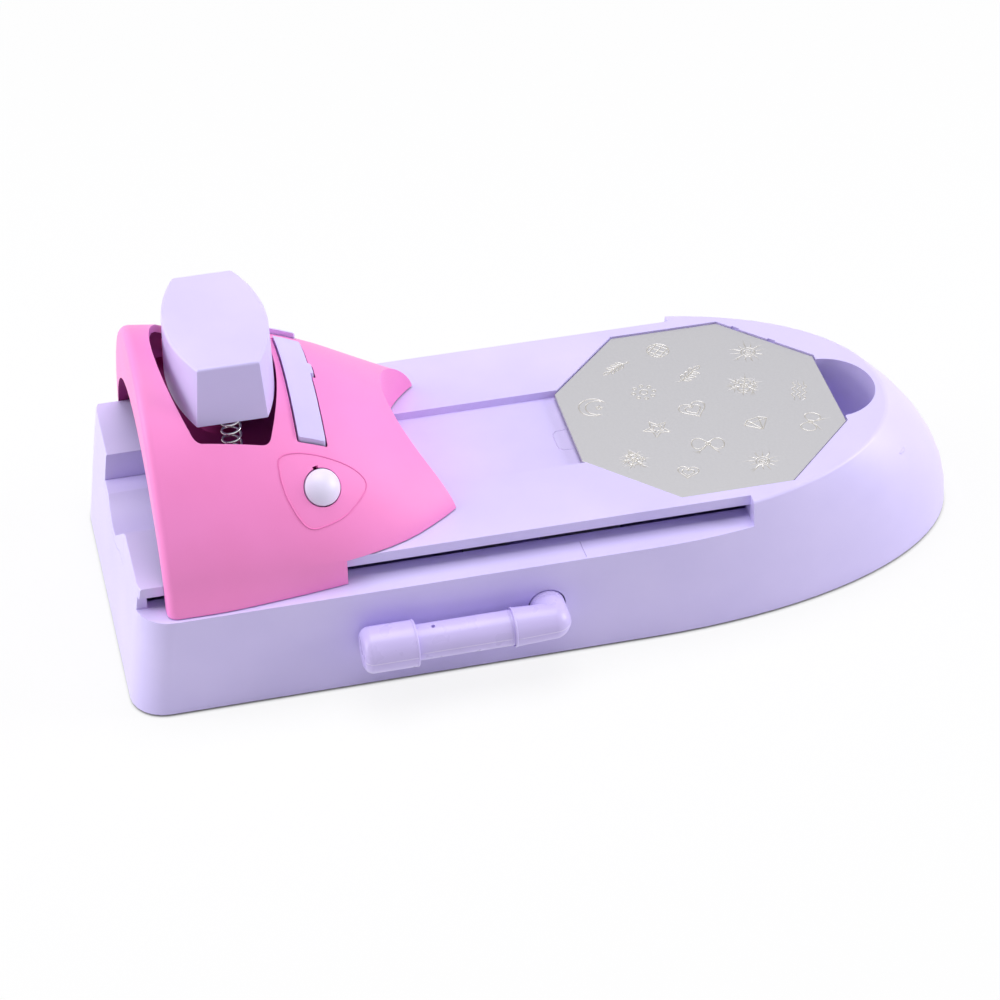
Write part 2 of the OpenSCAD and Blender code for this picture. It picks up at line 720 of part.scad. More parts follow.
// Knob opening: two bowed sides and two flat ends with rounded corners
aperture_y = 28.3;
aperture_r = 3;
module aperture_outline() {
    left_r = 59.3;
    right_r = 64.9;
    offset(r = aperture_r) offset(delta = -aperture_r) intersection() {
        translate([stamp_x - 18.3 + left_r, 0]) circle(r = left_r, $fn = 160);
        translate([stamp_x + 15.6 - right_r, 0]) circle(r = right_r, $fn = 160);
        translate([stamp_x - 2 * reach, -aperture_y]) square([4 * reach, 2 * aperture_y]);
    }
}

// Scraper windows: pad outlines in plan, drawn out by gap
near_pad_y = [-26.3, 13];
far_pad_y = [20, 26.5];
tab_y = [-5, -0.6];
module near_outline(gap) {
    offset(r = 0.6) offset(delta = gap - 0.6) union() {
        translate([scraper_x - scraper_w / 2, near_pad_y[0]])
            square([scraper_w, near_pad_y[1] - near_pad_y[0]]);
        translate([scraper_x, tab_y[0]]) square([scraper_w / 2 + 1, tab_y[1] - tab_y[0]]);
    }
}
module far_outline(gap) {
    offset(r = 0.6) offset(delta = gap - 0.6)
        translate([scraper_x - scraper_w / 2, far_pad_y[0]]) square([scraper_w, far_pad_y[1] - far_pad_y[0]]);
}

// Frame of the near side button: origin on the shell's skin, +Z along the outward normal
button_rise = 40;
button_yaw = 17;
module at_button() {
    translate([button_x, -button_y, deck_z + button_dz]) rotate([0, 0, button_yaw])
        rotate([90 - button_rise, 0, 0]) children();
}
button_hole_gap = 0.35;
cup_depth = 10;
cup_wall = 0.8;
cup_d = button_d + 2.4;

// Pink swallow-tailed shell with its knob opening, scraper windows and feet
clip_dx = [14, 37];
module carriage_shell() {
    web_t = 1.5;
    tail_wall = 1.8;
    clip = 0.1;
    color(pink) difference() {
        union() {
            difference() {
                shell_body(0, shell_l, 0, true);
                shell_body(shell_end_t, shell_l + 1, shell_wall, false);
                along_x(shell_end_x - 1, shell_end_x + shell_l + 1) polygon(
                    [[-arch_w, 0], [-arch_w, deck_z], [arch_w, deck_z], [arch_w, 0]]);
                along_x(shell_end_x - 1, shell_end_x + shell_end_t + 1)
                    polygon([for (i = [0:2 * section_steps]) let(t = 90 * i / section_steps)
                        [arch_w * cos(t), deck_z + arch_h * pow(sin(t), 2 / arch_power)]]);
            }
            // Blocks that clip on the slider's tabs, web and wall behind the tail, bosses for the bridge
            intersection() {
                union() {
                    both_sides() block([shell_end_x + clip_dx[0] - 2, lip_y + run_gap, ledge_z + run_gap],
                        [shell_end_x + clip_dx[1] + 2, base_w, deck_z + 1]);
                    block([foot_end_x + 2, -base_w, deck_z + run_gap],
                        [end_x + base_l, base_w, deck_z + run_gap + web_t]);
                    translate([tail_x + tail_r, 0, deck_z + run_gap])
                        cylinder(r = tail_r + tail_wall, h = base_w, $fn = 96);
                    both_sides() for (p = bridge_spots)
                        translate([p[0], p[1], bridge_z]) cylinder(d = boss_d, h = 30);
                }
                shell_body(0, shell_l, shell_wall / 2, false);
            }
        }
        // Feet stop short of the tail, and the skirt clears the deck there
        block([foot_end_x, -base_w, 0], [end_x + base_l, base_w, deck_z + run_gap]);
        // Room for the lips between the feet
        block([shell_end_x - 1, -lip_y - run_gap, 0], [end_x + base_l, lip_y + run_gap, deck_z + run_gap]);
        // Swallow tail
        translate([tail_x + tail_r, 0, 0]) cylinder(r = tail_r, h = 3 * base_w, $fn = 96);
        translate([0, 0, bridge_z - 1]) linear_extrude(base_w) aperture_outline();
        translate([0, 0, bridge_z + 1]) linear_extrude(base_w) near_outline(window_gap);
        translate([0, 0, bridge_z + 1]) linear_extrude(base_w) far_outline(window_gap);
        both_sides() at_button() {
            cylinder(d = button_d + 2 * button_hole_gap, h = 2 * reach, center = true);
            translate([-0.8, 0, -reach / 2]) cube([1.6, button_d / 2 + 1, reach]);
        }
        both_sides() block([shell_end_x + clip_dx[0] - clip, lip_y, ledge_z + run_gap + 0.2],
            [shell_end_x + clip_dx[1] + clip, slider_y + clip, lip_z - run_gap + clip]);
        both_sides() for (p = bridge_spots)
            translate([p[0], p[1], bridge_z - 1]) cylinder(d = screw_d + 2 * still_gap, h = 5);
    }
}

// Frame under the deck that runs in the two slots and carries the shell on its side tabs
slider_z = ledge_z + 0.7;
module slider_frame() {
    rail_y = 30;
    rail_end = slot_inner_y + 3;
    rail_x0 = shell_end_x + 1;
    rail_x1 = scraper_x + scraper_w / 2 + 1.5;
    cross_x = [scraper_x - 4, scraper_x + 4];
    arm_y0 = 18.5;
    arm_y1 = 22;
    foot_z = cover_z + rack_bottom + 2.1;
    color(off_white) difference() {
        union() {
            both_sides() block([rail_x0, rail_y, slider_z], [rail_x1, rail_end, lip_z - run_gap]);
            both_sides() block([shell_end_x + clip_dx[0], rail_end - 1, slider_z],
                [shell_end_x + clip_dx[1], slider_y, lip_z - run_gap]);
            block([cross_x[0], -rail_y - 1, slider_z], [cross_x[1], rail_y + 1, deck_under_z - run_gap]);
            block([cross_x[0], arm_y0, foot_z], [cross_x[1], arm_y1, slider_z + 1]);
            block([scraper_x - 7, rack_y0 + rack_w + 1, foot_z], [scraper_x + 7, arm_y1, foot_z + 2]);
        }
        for (p = rack_spots)
            translate([p[0], p[1], foot_z - 1]) cylinder(d = screw_d + 4 * still_gap, h = 4);
    }
}

rack_top_gap = 0.2;
module rack() {
    pitch = PI * gear_m;
    tan_p = tan(pressure);
    rack_z0 = cover_z + rack_bottom;
    root_z = rack_pitch_z - gear_add - rack_top_gap;
    tip_z = rack_pitch_z + gear_add;
    half = pitch / 4 - flank_gap / 2;
    left_n = floor((travel + 1.2) / pitch);
    right_n = 1;
    x_left = idler_x - (left_n + 0.5) * pitch;
    x_right = idler_x + (right_n - 0.5) * pitch + 1;
    color(off_white) difference() {
        union() {
            upright(0, 0, rack_y0, rack_w) polygon(concat(
                [[x_right, rack_z0], [x_right, root_z]],
                [for (k = [right_n - 1:-1:-left_n]) let(x = idler_x + k * pitch) each [
                    [x + half + (rack_pitch_z - root_z) * tan_p, root_z],
                    [x + half - (tip_z - rack_pitch_z) * tan_p, tip_z],
                    [x - half + (tip_z - rack_pitch_z) * tan_p, tip_z],
                    [x - half - (rack_pitch_z - root_z) * tan_p, root_z]]],
                [[x_left, root_z], [x_left, rack_z0]]));
            block([scraper_x - 7, rack_y0 + rack_w - 1, rack_z0], [scraper_x + 7, 15, rack_z0 + 2]);
        }
        for (p = rack_spots)
            translate([p[0], p[1], rack_z0 - 1]) cylinder(d = screw_d + 2 * still_gap, h = 4);
    }
}

module rack_screws() {
    top_z = cover_z + rack_bottom + 2.1 + 2;
    color(steel) for (p = rack_spots) translate([p[0], p[1], top_z + head_h]) mirror([0, 0, 1])
        screw(head_h + 2 + 1.9);
}

// Guide of the stem, with pins for the stamp springs and a slot for the scraper's leg
leg_y = 8.6;
web_w = 2.4;
slot_gap = 0.3;
module stamp_bridge() {
    pin_d = spring_d - 2 * spring_wire - 0.9;
    bridge_x0 = stamp_x - 14;
    color(pink) difference() {
        union() {
            block([bridge_x0, -bridge_y, bridge_z - bridge_t], [stamp_x + 13, bridge_y, bridge_z]);
            block([stamp_x, -20, bridge_z - bridge_t], [scraper_x + 6, 20, bridge_z]);
            both_sides() translate([stamp_x, spring_y, bridge_z - 1]) cylinder(d = pin_d, h = 4);
            translate([stamp_x, 0, bridge_z - bridge_t - 1]) cylinder(d = stem_d + 5, h = bridge_t + 4);
        }
        translate([stamp_x, 0, 0]) cylinder(d = stem_d + 2 * turn_gap, h = knob_top_z);
        block([scraper_x - web_w / 2 - slot_gap, -leg_y - slot_gap, 0],
            [scraper_x + web_w / 2 + slot_gap, leg_y + slot_gap, knob_top_z]);
        both_sides() for (p = bridge_spots) translate([p[0], p[1], bridge_z - bridge_t - 1])
            cylinder(d = screw_d + 4 * still_gap, h = bridge_t + 2);
    }
}

module bridge_screws() {
    color(steel) both_sides() for (p = bridge_spots)
        translate([p[0], p[1], bridge_z - bridge_t - head_h]) screw(head_h + bridge_t + 3.6);
}

// Outline of the knob at a height: bowed sides and flat ends
knob_flare_y = 0.8;
knob_flare_x = 0.4;
function knob_ring(t, inset) = let(
    yy = knob_y + knob_flare_y * (1 - t) - inset,
    xm = knob_x + knob_flare_x * (1 - t) - inset,
    bow = knob_bow - 0.9 * (1 - t),
    r = (pow(yy, 2) + pow(bow, 2)) / (2 * bow),
    a = asin(yy / r),
    n = 12)
    concat(
        [for (i = [-n:n]) let(u = a * i / n) [stamp_x + xm - r + r * cos(u), r * sin(u)]],
        [for (i = [n:-1:-n]) let(u = a * i / n) [stamp_x - xm + r - r * cos(u), r * sin(u)]]);

stem_socket_z = knob_z + 6;
module push_knob() {
    steps = 3;
    ceiling = 1 - knob_wall * 1.5 / knob_h;
    boss_top = knob_z + knob_h * ceiling + 0.5;
    color(knob_lavender) difference() {
        union() {
            difference() {
                loft(concat(
                    [lifted(knob_ring(0, knob_edge_r / 2), knob_z),
                        lifted(knob_ring(0, 0), knob_z + knob_edge_r / 2)],
                    [for (i = [0:steps]) let(t = 90 * i / steps, r = knob_edge_r)
                        lifted(knob_ring(1, r * (1 - cos(t))), knob_top_z - r * (1 - sin(t)))]));
                loft([lifted(knob_ring(0, knob_wall), knob_z - 1), lifted(knob_ring(ceiling, knob_wall),
                    knob_z + knob_h * ceiling)]);
            }
            translate([stamp_x, 0, knob_z + 1]) cylinder(d = stem_d + 4, h = boss_top - knob_z - 1);
            both_sides() translate([stamp_x, spring_y, knob_z])
                cylinder(d = spring_d + 1, h = boss_top - knob_z);
        }
        translate([stamp_x, 0, 0]) cylinder(d = stem_d + 2 * still_gap, h = stem_socket_z + 6);
    }
}

pad_bottom_z = deck_z + stroke + 0.3;
holder_top_z = bridge_z - bridge_t - 1 - 0.3;
module stamp_stem() {
    foot_z = pad_bottom_z + pad_t + seat_gap;
    color(off_white) translate([stamp_x, 0, foot_z]) cylinder(d = stem_d, h = stem_socket_z + 6 - foot_z);
}

module stamp_holder() {
    holder_bottom_z = pad_bottom_z + 3.4;
    color(knob_lavender) difference() {
        translate([stamp_x, 0, holder_bottom_z]) cylinder(d = pad_d + 4, h = holder_top_z - holder_bottom_z);
        translate([stamp_x, 0, pad_bottom_z]) cylinder(d = pad_d + 2 * still_gap, h = pad_t);
        translate([stamp_x, 0, pad_bottom_z + 1])
            cylinder(d = stem_d + 2 * still_gap, h = holder_top_z - pad_bottom_z);
    }
}

// Soft pad with a slightly crowned face
module stamp_pad() {
    crown_r = 60;
    color([0.93, 0.93, 0.95]) intersection() {
        translate([stamp_x, 0, pad_bottom_z]) cylinder(d = pad_d, h = pad_t - seat_gap);
        translate([stamp_x, 0, pad_bottom_z + crown_r]) sphere(r = crown_r, $fn = 96);
    }
}

// Coil spring from z = 0 to z = high, wound from one wire with straight ends
ring_sides = 6;
rings_per_turn = 8;
function coil_path(r, wire, high, turns) = let(
    bend = wire,
    low = wire + bend,
    n = turns * rings_per_turn,
    full = 360 * turns)
    concat(
        [[r, 0, 0, 0], [r, 0, wire, 0]],
        [for (i = [1:2]) let(t = 30 * i) [r, bend * (1 - cos(t)), wire + bend * sin(t), t]],
        [for (i = [1:n - 1]) let(a = 360 * i / rings_per_turn)
            [r * cos(a), r * sin(a), low + (high - 2 * low) * i / n, 90]],
        [for (i = [2:-1:1]) let(t = 30 * i)
            [r, -bend * (1 - cos(t)), high - wire - bend * sin(t), t]],
        [[r, 0, high - wire, 0], [r, 0, high, 0]]);
// Ring of the wire about a path point: fourth entry is the lean of the wire from upright
function wire_ring(p, wire) = let(
    a = atan2(p[1], p[0]),
    out = [cos(a), sin(a), 0],
    along = [-sin(a), cos(a), 0],
    side = along * cos(p[3]) + [0, 0, -1] * sin(p[3]))
    [for (k = [0:ring_sides - 1]) let(u = 360 * k / ring_sides)
        [p[0], p[1], p[2]] + wire / 2 * (out * cos(u) + side * sin(u))];
module coil(d, wire, high, turns) {
    path = coil_path((d - wire) / 2, wire, high, turns);
    loft([for (p = path) wire_ring(p, wire)]);
}
function least_gap(path, wire, skip) = min([for (i = [0:len(path) - 1]) for (j = [i + skip:1:len(path) - 1])
    norm([for (k = [0:2]) path[i][k] - path[j][k]])]) - wire;

stamp_spring_l = knob_z - bridge_z - seat_gap;
stamp_coil = coil_path((spring_d - spring_wire) / 2, spring_wire, stamp_spring_l, spring_turns);
module stamp_spring_front() {
    echo("least gap of the stamp spring to itself", least_gap(stamp_coil, spring_wire, rings_per_turn - 2));
    color(steel) translate([stamp_x, -spring_y, bridge_z])
        coil(spring_d, spring_wire, stamp_spring_l, spring_turns);
}
module stamp_spring_rear() {
    color(steel) translate([stamp_x, spring_y, bridge_z])
        coil(spring_d, spring_wire, stamp_spring_l, spring_turns);
}

// Scraper: two pads in the shell's windows on one beam, a leg and the blade's crossbar
beam_z = bridge_z + 5.5;
crossbar_z = deck_z + 8;
module scraper_holder() {
    beam_y = 24;
    skin = 3;
    crossbar_y = blade_l / 2 + 1;
    color(knob_lavender) difference() {
        union() {
            difference() {
                union() {
                    intersection() {
                        translate([0, 0, bridge_z]) linear_extrude(base_w) near_outline(0);
                        shell_body(0, shell_l, -pad_proud, false);
                    }
                    intersection() {
                        translate([0, 0, bridge_z]) linear_extrude(base_w) far_outline(0);
                        shell_body(0, shell_l, -far_proud, false);
                    }
                }
                shell_body(1, shell_l - 1, skin, false);
            }
            intersection() {
                block([scraper_x - web_w / 2, -beam_y, beam_z],
                    [scraper_x + web_w / 2, beam_y + 1, knob_top_z]);
                shell_body(0, shell_l, skin - 0.4, false);
            }
            block([scraper_x - web_w / 2, -leg_y, crossbar_z], [scraper_x + web_w / 2, leg_y, beam_z + 1]);
            block([scraper_x - 2, -crossbar_y, crossbar_z], [scraper_x + 2, crossbar_y, crossbar_z + 5]);
        }
        block([scraper_x - blade_t / 2 - still_gap, -blade_l / 2 - still_gap, 0],
            [scraper_x + blade_t / 2 + still_gap, blade_l / 2 + still_gap, crossbar_z + 2]);
    }
}

module scraper_blade() {
    color(steel) block([scraper_x - blade_t / 2, -blade_l / 2, deck_z + scraper_stroke],
        [scraper_x + blade_t / 2, blade_l / 2, crossbar_z + 2 - still_gap]);
}

scraper_spring_y = 12.4;
scraper_spring_l = beam_z - bridge_z - seat_gap;
scraper_turns = 3;
module scraper_spring_front() {
    color(steel) translate([scraper_x, -scraper_spring_y, bridge_z])
        coil(scraper_spring_d, scraper_wire, scraper_spring_l, scraper_turns);
}
module scraper_spring_rear() {
    color(steel) translate([scraper_x, scraper_spring_y, bridge_z])
        coil(scraper_spring_d, scraper_wire, scraper_spring_l, scraper_turns);
}

// Side button: domed cap, a flange behind the shell and a hollow shank for its spring
flange_depth = 4.4;
shank_end = cup_depth - button_travel - 0.3;
shank_d = 7.4;
shank_bore = 4.8;
bore_depth = 4.2;
module side_button() {
    flange_h = 1.2;
    difference() {
        union() {
            intersection() {
                translate([0, 0, -flange_depth]) cylinder(d = button_d, h = flange_depth + button_proud);
                translate([0, 0, button_proud - button_dome_r]) sphere(r = button_dome_r, $fn = 72);
            }
            translate([0, 0, -flange_depth - flange_h])
                cylinder(d = cup_d - 2 * cup_wall - 0.4, h = flange_h);
            translate([0, 0, -flange_depth - 0.2]) cylinder(d = button_d, h = 2);
            translate([0, 0, -shank_end]) cylinder(d = shank_d, h = shank_end - flange_depth);
        }
        translate([0, 0, -shank_end - 1]) cylinder(d = shank_bore, h = shank_end + 1 - bore_depth);
    }
}

module button_cup() {
    difference() {
        intersection() {
            at_button() translate([0, 0, -cup_depth - cup_wall])
                cylinder(d = cup_d, h = cup_depth + cup_wall);
            shell_body(0, shell_l, shell_wall + 0.1, false);
        }
        at_button() translate([0, 0, -cup_depth]) cylinder(d = cup_d - 2 * cup_wall, h = 2 * cup_depth);
    }
}

button_spring_l = cup_depth - bore_depth - button_travel - 0.1;
module button_spring() {
    at_button() translate([0, 0, -cup_depth + seat_gap]) coil(shank_bore - 0.8, 0.45, button_spring_l, 3);
}

module side_button_front() {
    color(knob_lavender) at_button() side_button();
}
module side_button_rear() {
    color(knob_lavender) mirror([0, 1, 0]) at_button() side_button();
}
module button_cup_front() {
    color(pink) button_cup();
}
module button_cup_rear() {
    color(pink) mirror([0, 1, 0]) button_cup();
}
module button_spring_front() {
    color(steel) button_spring();
}
module button_spring_rear() {
    color(steel) mirror([0, 1, 0]) button_spring();
}

// Crank: stub shaft, elbow, arm and cap in line, with the gear pressed on inside
shaft_end_d = 5;
gear_seat_d = 8;
spigot_d = 7;
elbow_y = -(base_w / 2 + 1.2);
module crank_shaft() {
    color(lavender) difference() {
        union() {
            bar_y(crank_x, crank_z, crank_d, elbow_y, crank_gear_y - 0.2);
            bar_y(crank_x, crank_z, gear_seat_d, crank_gear_y - 1, crank_gear_y + crank_gear_w);
            bar_y(crank_x, crank_z, shaft_end_d, crank_gear_y, far_plate_y + plate_wall + 3);
            bar_y(crank_x, crank_z, spigot_d, elbow_y - 2.5, elbow_y + 1);
        }
        difference() {
            bar_y(crank_x, crank_z, shaft_end_d + 1, far_plate_y + plate_wall + 0.4,
                far_plate_y + plate_wall + 1.4);
            bar_y(crank_x, crank_z, shaft_end_d - 1.2, far_plate_y, far_plate_y + plate_wall + 4);
        }
    }
}

module crank_elbow() {
    flare = 1;
    color(lavender) difference() {
        union() {
            bar_y(crank_x, crank_z, crank_d, -arm_y, elbow_y - still_gap);
            translate([crank_x, -arm_y, crank_z]) sphere(d = crank_d, $fn = 64);
            translate([crank_x, -arm_y, crank_z]) rotate([0, -90, 0])
                cylinder(d1 = crank_d, d2 = crank_d + flare, h = elbow_l);
        }
        bar_y(crank_x, crank_z, spigot_d + 2 * still_gap, elbow_y - 2.5 - still_gap, elbow_y + 1);
        translate([crank_x - elbow_l + 4, -arm_y, crank_z]) rotate([0, -90, 0])
            cylinder(d = spigot_d + 2 * still_gap, h = 5);
    }
}

module crank_arm() {
    x0 = crank_x - elbow_l;
    color(lavender) difference() {
        union() {
            translate([x0 - still_gap, -arm_y, crank_z]) rotate([0, -90, 0])
                cylinder(d = crank_d, h = arm_l);
            translate([x0 + 4 - still_gap, -arm_y, crank_z]) rotate([0, -90, 0])
                cylinder(d = spigot_d, h = arm_l + 4 + cap_l - 4);
        }
        translate([x0 - arm_l + 5, -arm_y, crank_z + crank_d / 2 - 2]) cylinder(d = 1.2, h = 4);
    }
}

// Barrel cap with a rounded end
module crank_cap() {
    r = cap_d / 2;
    end_r = 2.6;
    cap_x = crank_x - elbow_l - arm_l - 2 * still_gap;
    color(lavender) translate([cap_x, -arm_y, crank_z]) rotate([0, -90, 0]) difference() {
        rotate_extrude($fn = 64) polygon(concat(
            [[0, 0], [r - 0.6, 0], [r, 0.6]],
            [for (i = [0:6]) let(t = 15 * i)
                [r - end_r + end_r * cos(t), cap_l - end_r + end_r * sin(t)]],
            [[0, cap_l]]));
        translate([0, 0, -1]) cylinder(d = spigot_d + 2 * still_gap, h = cap_l - 3);
    }
}

module crank_gear() {
    color(off_white) difference() {
        upright(crank_x, crank_z, crank_gear_y, crank_gear_w) wheel(gear_z, gear_add, gear_ded, 0);
        bar_y(crank_x, crank_z, gear_seat_d + 2 * still_gap, crank_gear_y - 1,
            crank_gear_y + crank_gear_w + 1);
    }
}

module shaft_clip() {
    clip_y = far_plate_y + plate_wall + 0.5;
    color(steel) difference() {
        bar_y(crank_x, crank_z, shaft_end_d + 3.4, clip_y, clip_y + 0.8);
        bar_y(crank_x, crank_z, shaft_end_d - 1.2 + 2 * still_gap, clip_y - 1, clip_y + 2);
        block([crank_x - 1.6, clip_y - 1, crank_z], [crank_x + 1.6, clip_y + 2, crank_z + shaft_end_d]);
    }
}

base_shell();
finger_rest();
bottom_cover();
rubber_feet();
cover_screws();
rest_screws();
gearbox_frame();
gearbox_screws();
idler_axle();
idler_gear();
pattern_plate();
carriage_shell();
slider_frame();
rack();
rack_screws();
stamp_bridge();
bridge_screws();
push_knob();
stamp_stem();
stamp_holder();
stamp_pad();
stamp_spring_front();
stamp_spring_rear();
scraper_holder();
scraper_blade();
scraper_spring_front();
scraper_spring_rear();
side_button_front();
side_button_rear();
button_cup_front();
button_cup_rear();
button_spring_front();
button_spring_rear();
crank_shaft();
crank_elbow();
crank_arm();
crank_cap();
crank_gear();
shaft_clip();
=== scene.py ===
"""Nail art printer: stamp carriage on a long lavender base, with its engraved plate and side crank."""

import json
import math

import bmesh
import bpy
import numpy as np
from mathutils import Matrix, Vector, geometry


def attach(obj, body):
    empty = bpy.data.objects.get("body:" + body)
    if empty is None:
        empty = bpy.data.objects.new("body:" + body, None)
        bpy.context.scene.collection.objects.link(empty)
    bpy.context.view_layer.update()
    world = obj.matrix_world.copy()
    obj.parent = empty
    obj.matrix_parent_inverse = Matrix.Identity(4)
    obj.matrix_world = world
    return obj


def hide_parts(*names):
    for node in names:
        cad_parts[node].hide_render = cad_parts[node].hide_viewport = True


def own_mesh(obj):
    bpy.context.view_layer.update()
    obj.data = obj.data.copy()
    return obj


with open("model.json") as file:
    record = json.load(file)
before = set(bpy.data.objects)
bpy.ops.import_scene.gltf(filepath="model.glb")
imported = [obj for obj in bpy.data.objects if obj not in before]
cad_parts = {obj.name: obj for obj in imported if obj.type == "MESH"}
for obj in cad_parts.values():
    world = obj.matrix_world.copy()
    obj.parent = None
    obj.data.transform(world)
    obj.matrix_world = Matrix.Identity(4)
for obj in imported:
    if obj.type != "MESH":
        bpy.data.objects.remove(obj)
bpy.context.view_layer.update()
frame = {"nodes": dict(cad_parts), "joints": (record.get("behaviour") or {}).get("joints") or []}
MM = 0.001

# Camera: a long lens that stands off the near side, a little to the left, and looks down at the middle.
# Its place and turn are the ones at which the base, plate and carriage line up with the photograph.
CAMERA_AT = np.array([-178.7, -742.4, 621.2]) * MM
CAMERA_AZ, CAMERA_EL, CAMERA_ROLL = np.radians([-12.80, 38.42, -0.69])
CAMERA_LENS = 118.08
back = np.array(
    [
        math.sin(CAMERA_AZ) * math.cos(CAMERA_EL),
        -math.cos(CAMERA_AZ) * math.cos(CAMERA_EL),
        math.sin(CAMERA_EL),
    ]
)
level = np.array([math.cos(CAMERA_AZ), math.sin(CAMERA_AZ), 0.0])
upward = np.cross(back, level)
right = math.cos(CAMERA_ROLL) * level + math.sin(CAMERA_ROLL) * upward
upward = math.cos(CAMERA_ROLL) * upward - math.sin(CAMERA_ROLL) * level
turn = Matrix(np.stack([right, upward, back], axis=1).tolist()).to_4x4()
camera_data = bpy.data.cameras.new("camera")
camera_data.lens = CAMERA_LENS
camera_data.sensor_width = 36
camera_data.clip_start, camera_data.clip_end = 0.05, 20
camera = bpy.data.objects.new("camera", camera_data)
camera.matrix_world = Matrix.Translation(CAMERA_AT.tolist()) @ turn
bpy.context.scene.collection.objects.link(camera)
bpy.context.scene.camera = camera
bpy.context.scene.view_settings.view_transform = "Standard"


# Studio: a white floor in a dim white room, lit from above and from both ends.
# The floor is white to the camera and still takes the object's shadow; along the object's foot, ambient
# occlusion darkens its colour and glow to a grey, a painted contact shade.
FLOOR_SIZE = 6.0
FLOOR_GLOW = 0.85
FLOOR_WHITE = (0.98, 0.98, 0.99, 1)
CONTACT_SHADE_GREY = (0.12, 0.11, 0.14, 1)
CONTACT_REACH = 1.6 * MM
CONTACT_DARK, CONTACT_CLEAR = 0.35, 0.8
ROOM_LIGHT = 0.23


def new_object(name, verts, faces, smooth=True):
    """Object whose mesh has these points in metres and these faces, with its place in its mesh."""
    mesh = bpy.data.meshes.new(name)
    mesh.from_pydata(np.asarray(verts, float).tolist(), [], [list(map(int, f)) for f in faces])
    mesh.polygons.foreach_set("use_smooth", [smooth] * len(mesh.polygons))
    mesh.update()
    made = bpy.data.objects.new(name, mesh)
    bpy.context.scene.collection.objects.link(made)
    return made


def new_material(name):
    """Node material with nothing in it but its output, and the tree, which the caller fills."""
    made = bpy.data.materials.new(name)
    made.use_nodes = True
    tree = made.node_tree
    tree.nodes.clear()
    return made, tree, tree.nodes.new("ShaderNodeOutputMaterial")


def white_rays(tree):
    """Socket that is 1 on the rays that see the room as white: the camera's, mirrored and refracted."""
    path = tree.nodes.new("ShaderNodeLightPath")
    total = None
    for kind in ("Is Camera Ray", "Is Glossy Ray", "Is Transmission Ray"):
        add = tree.nodes.new("ShaderNodeMath")
        add.operation = "ADD"
        add.use_clamp = True
        add.inputs[0].default_value = 0
        tree.links.new(path.outputs[kind], add.inputs[1])
        if total:
            tree.links.new(total, add.inputs[0])
        total = add.outputs[0]
    return total


h = FLOOR_SIZE / 2
floor = new_object("floor", [(-h, -h, 0), (h, -h, 0), (h, h, 0), (-h, h, 0)], [(0, 1, 2, 3)], False)
floor_paint, tree, out = new_material("floor_white")
matt = tree.nodes.new("ShaderNodeBsdfDiffuse")
glow = tree.nodes.new("ShaderNodeEmission")
glow.inputs["Color"].default_value = (1, 1, 1, 1)
seen = white_rays(tree)
# Painted shade: where the object stands close, ambient occlusion turns the floor's colour towards a dark
# grey and dims its glow.
contact_shade = tree.nodes.new("ShaderNodeAmbientOcclusion")
contact_shade.inputs["Distance"].default_value = CONTACT_REACH
contact_shade.samples = 8
clear = tree.nodes.new("ShaderNodeMapRange")
clear.inputs["From Min"].default_value = CONTACT_DARK
clear.inputs["From Max"].default_value = CONTACT_CLEAR
clear.inputs["To Max"].default_value = FLOOR_GLOW
tree.links.new(contact_shade.outputs["AO"], clear.inputs["Value"])
share = tree.nodes.new("ShaderNodeMath")
share.operation = "MULTIPLY"
tree.links.new(seen, share.inputs[0])
tree.links.new(clear.outputs[0], share.inputs[1])
tone = tree.nodes.new("ShaderNodeMix")
tone.data_type = "RGBA"
tone.inputs["A"].default_value = CONTACT_SHADE_GREY
tone.inputs["B"].default_value = FLOOR_WHITE
tree.links.new(clear.outputs[0], tone.inputs["Factor"])
tree.links.new(tone.outputs["Result"], matt.inputs["Color"])
mix = tree.nodes.new("ShaderNodeMixShader")
tree.links.new(share.outputs[0], mix.inputs[0])
tree.links.new(matt.outputs[0], mix.inputs[1])
tree.links.new(glow.outputs[0], mix.inputs[2])
tree.links.new(mix.outputs[0], out.inputs["Surface"])
floor.data.materials.append(floor_paint)

world = bpy.data.worlds.new("room")
world.use_nodes = True
bpy.context.scene.world = world
tree = world.node_tree
room = tree.nodes["Background"]
room.inputs["Color"].default_value = (1, 1, 1, 1)
bright = tree.nodes.new("ShaderNodeMapRange")
bright.inputs["To Min"].default_value = ROOM_LIGHT
bright.inputs["To Max"].default_value = 1.0
tree.links.new(white_rays(tree), bright.inputs["Value"])
tree.links.new(bright.outputs[0], room.inputs["Strength"])


def lamp(name, at, aim, size, power):
    """Square area lamp in watts, at a place in metres, turned towards the aim."""
    data = bpy.data.lights.new(name, "AREA")
    data.size, data.energy = size, power
    made = bpy.data.objects.new(name, data)
    made.location = at
    made.rotation_mode = "QUATERNION"
    made.rotation_quaternion = (Vector(aim) - Vector(at)).to_track_quat("-Z", "Y")
    bpy.context.scene.collection.objects.link(made)


lamp("overhead", (0, 0.1, 1.3), (0, 0, 0), 0.9, 9.8)
lamp("left_end", (-1.3, 0.15, 0.4), (-0.1, 0, 0.03), 0.7, 7.9)
lamp("right_end", (1.3, -0.2, 0.5), (0, 0, 0.03), 0.7, 11.3)
lamp("left_high", (-0.9, 0, 1.1), (0, 0, 0.03), 0.6, 3.1)


# Base moulding: one piece of lavender ABS with ledges, lipped deck, sunk track and plate recess.
# Injection moulded, satin finish, with a soft edge round every corner.
LAVENDER = (216, 205, 255)
nodes = frame["nodes"]
CLOUD_MM, CLOUD_TONE = 26, 0.035
NOISE_LOW, NOISE_HIGH = 0.3, 0.7
SMOOTHER, ROUGHER = 0.05, 0.06
GRAIN_BUMP = 0.5
SEEP, SEEP_SHARE = (0.004, 0.0025, 0.004), 0.5
WELD = 0.004
FLAT_ANGLE, HARD_ANGLE = math.radians(0.6), math.radians(32)
FACE_WEIGHT = 90


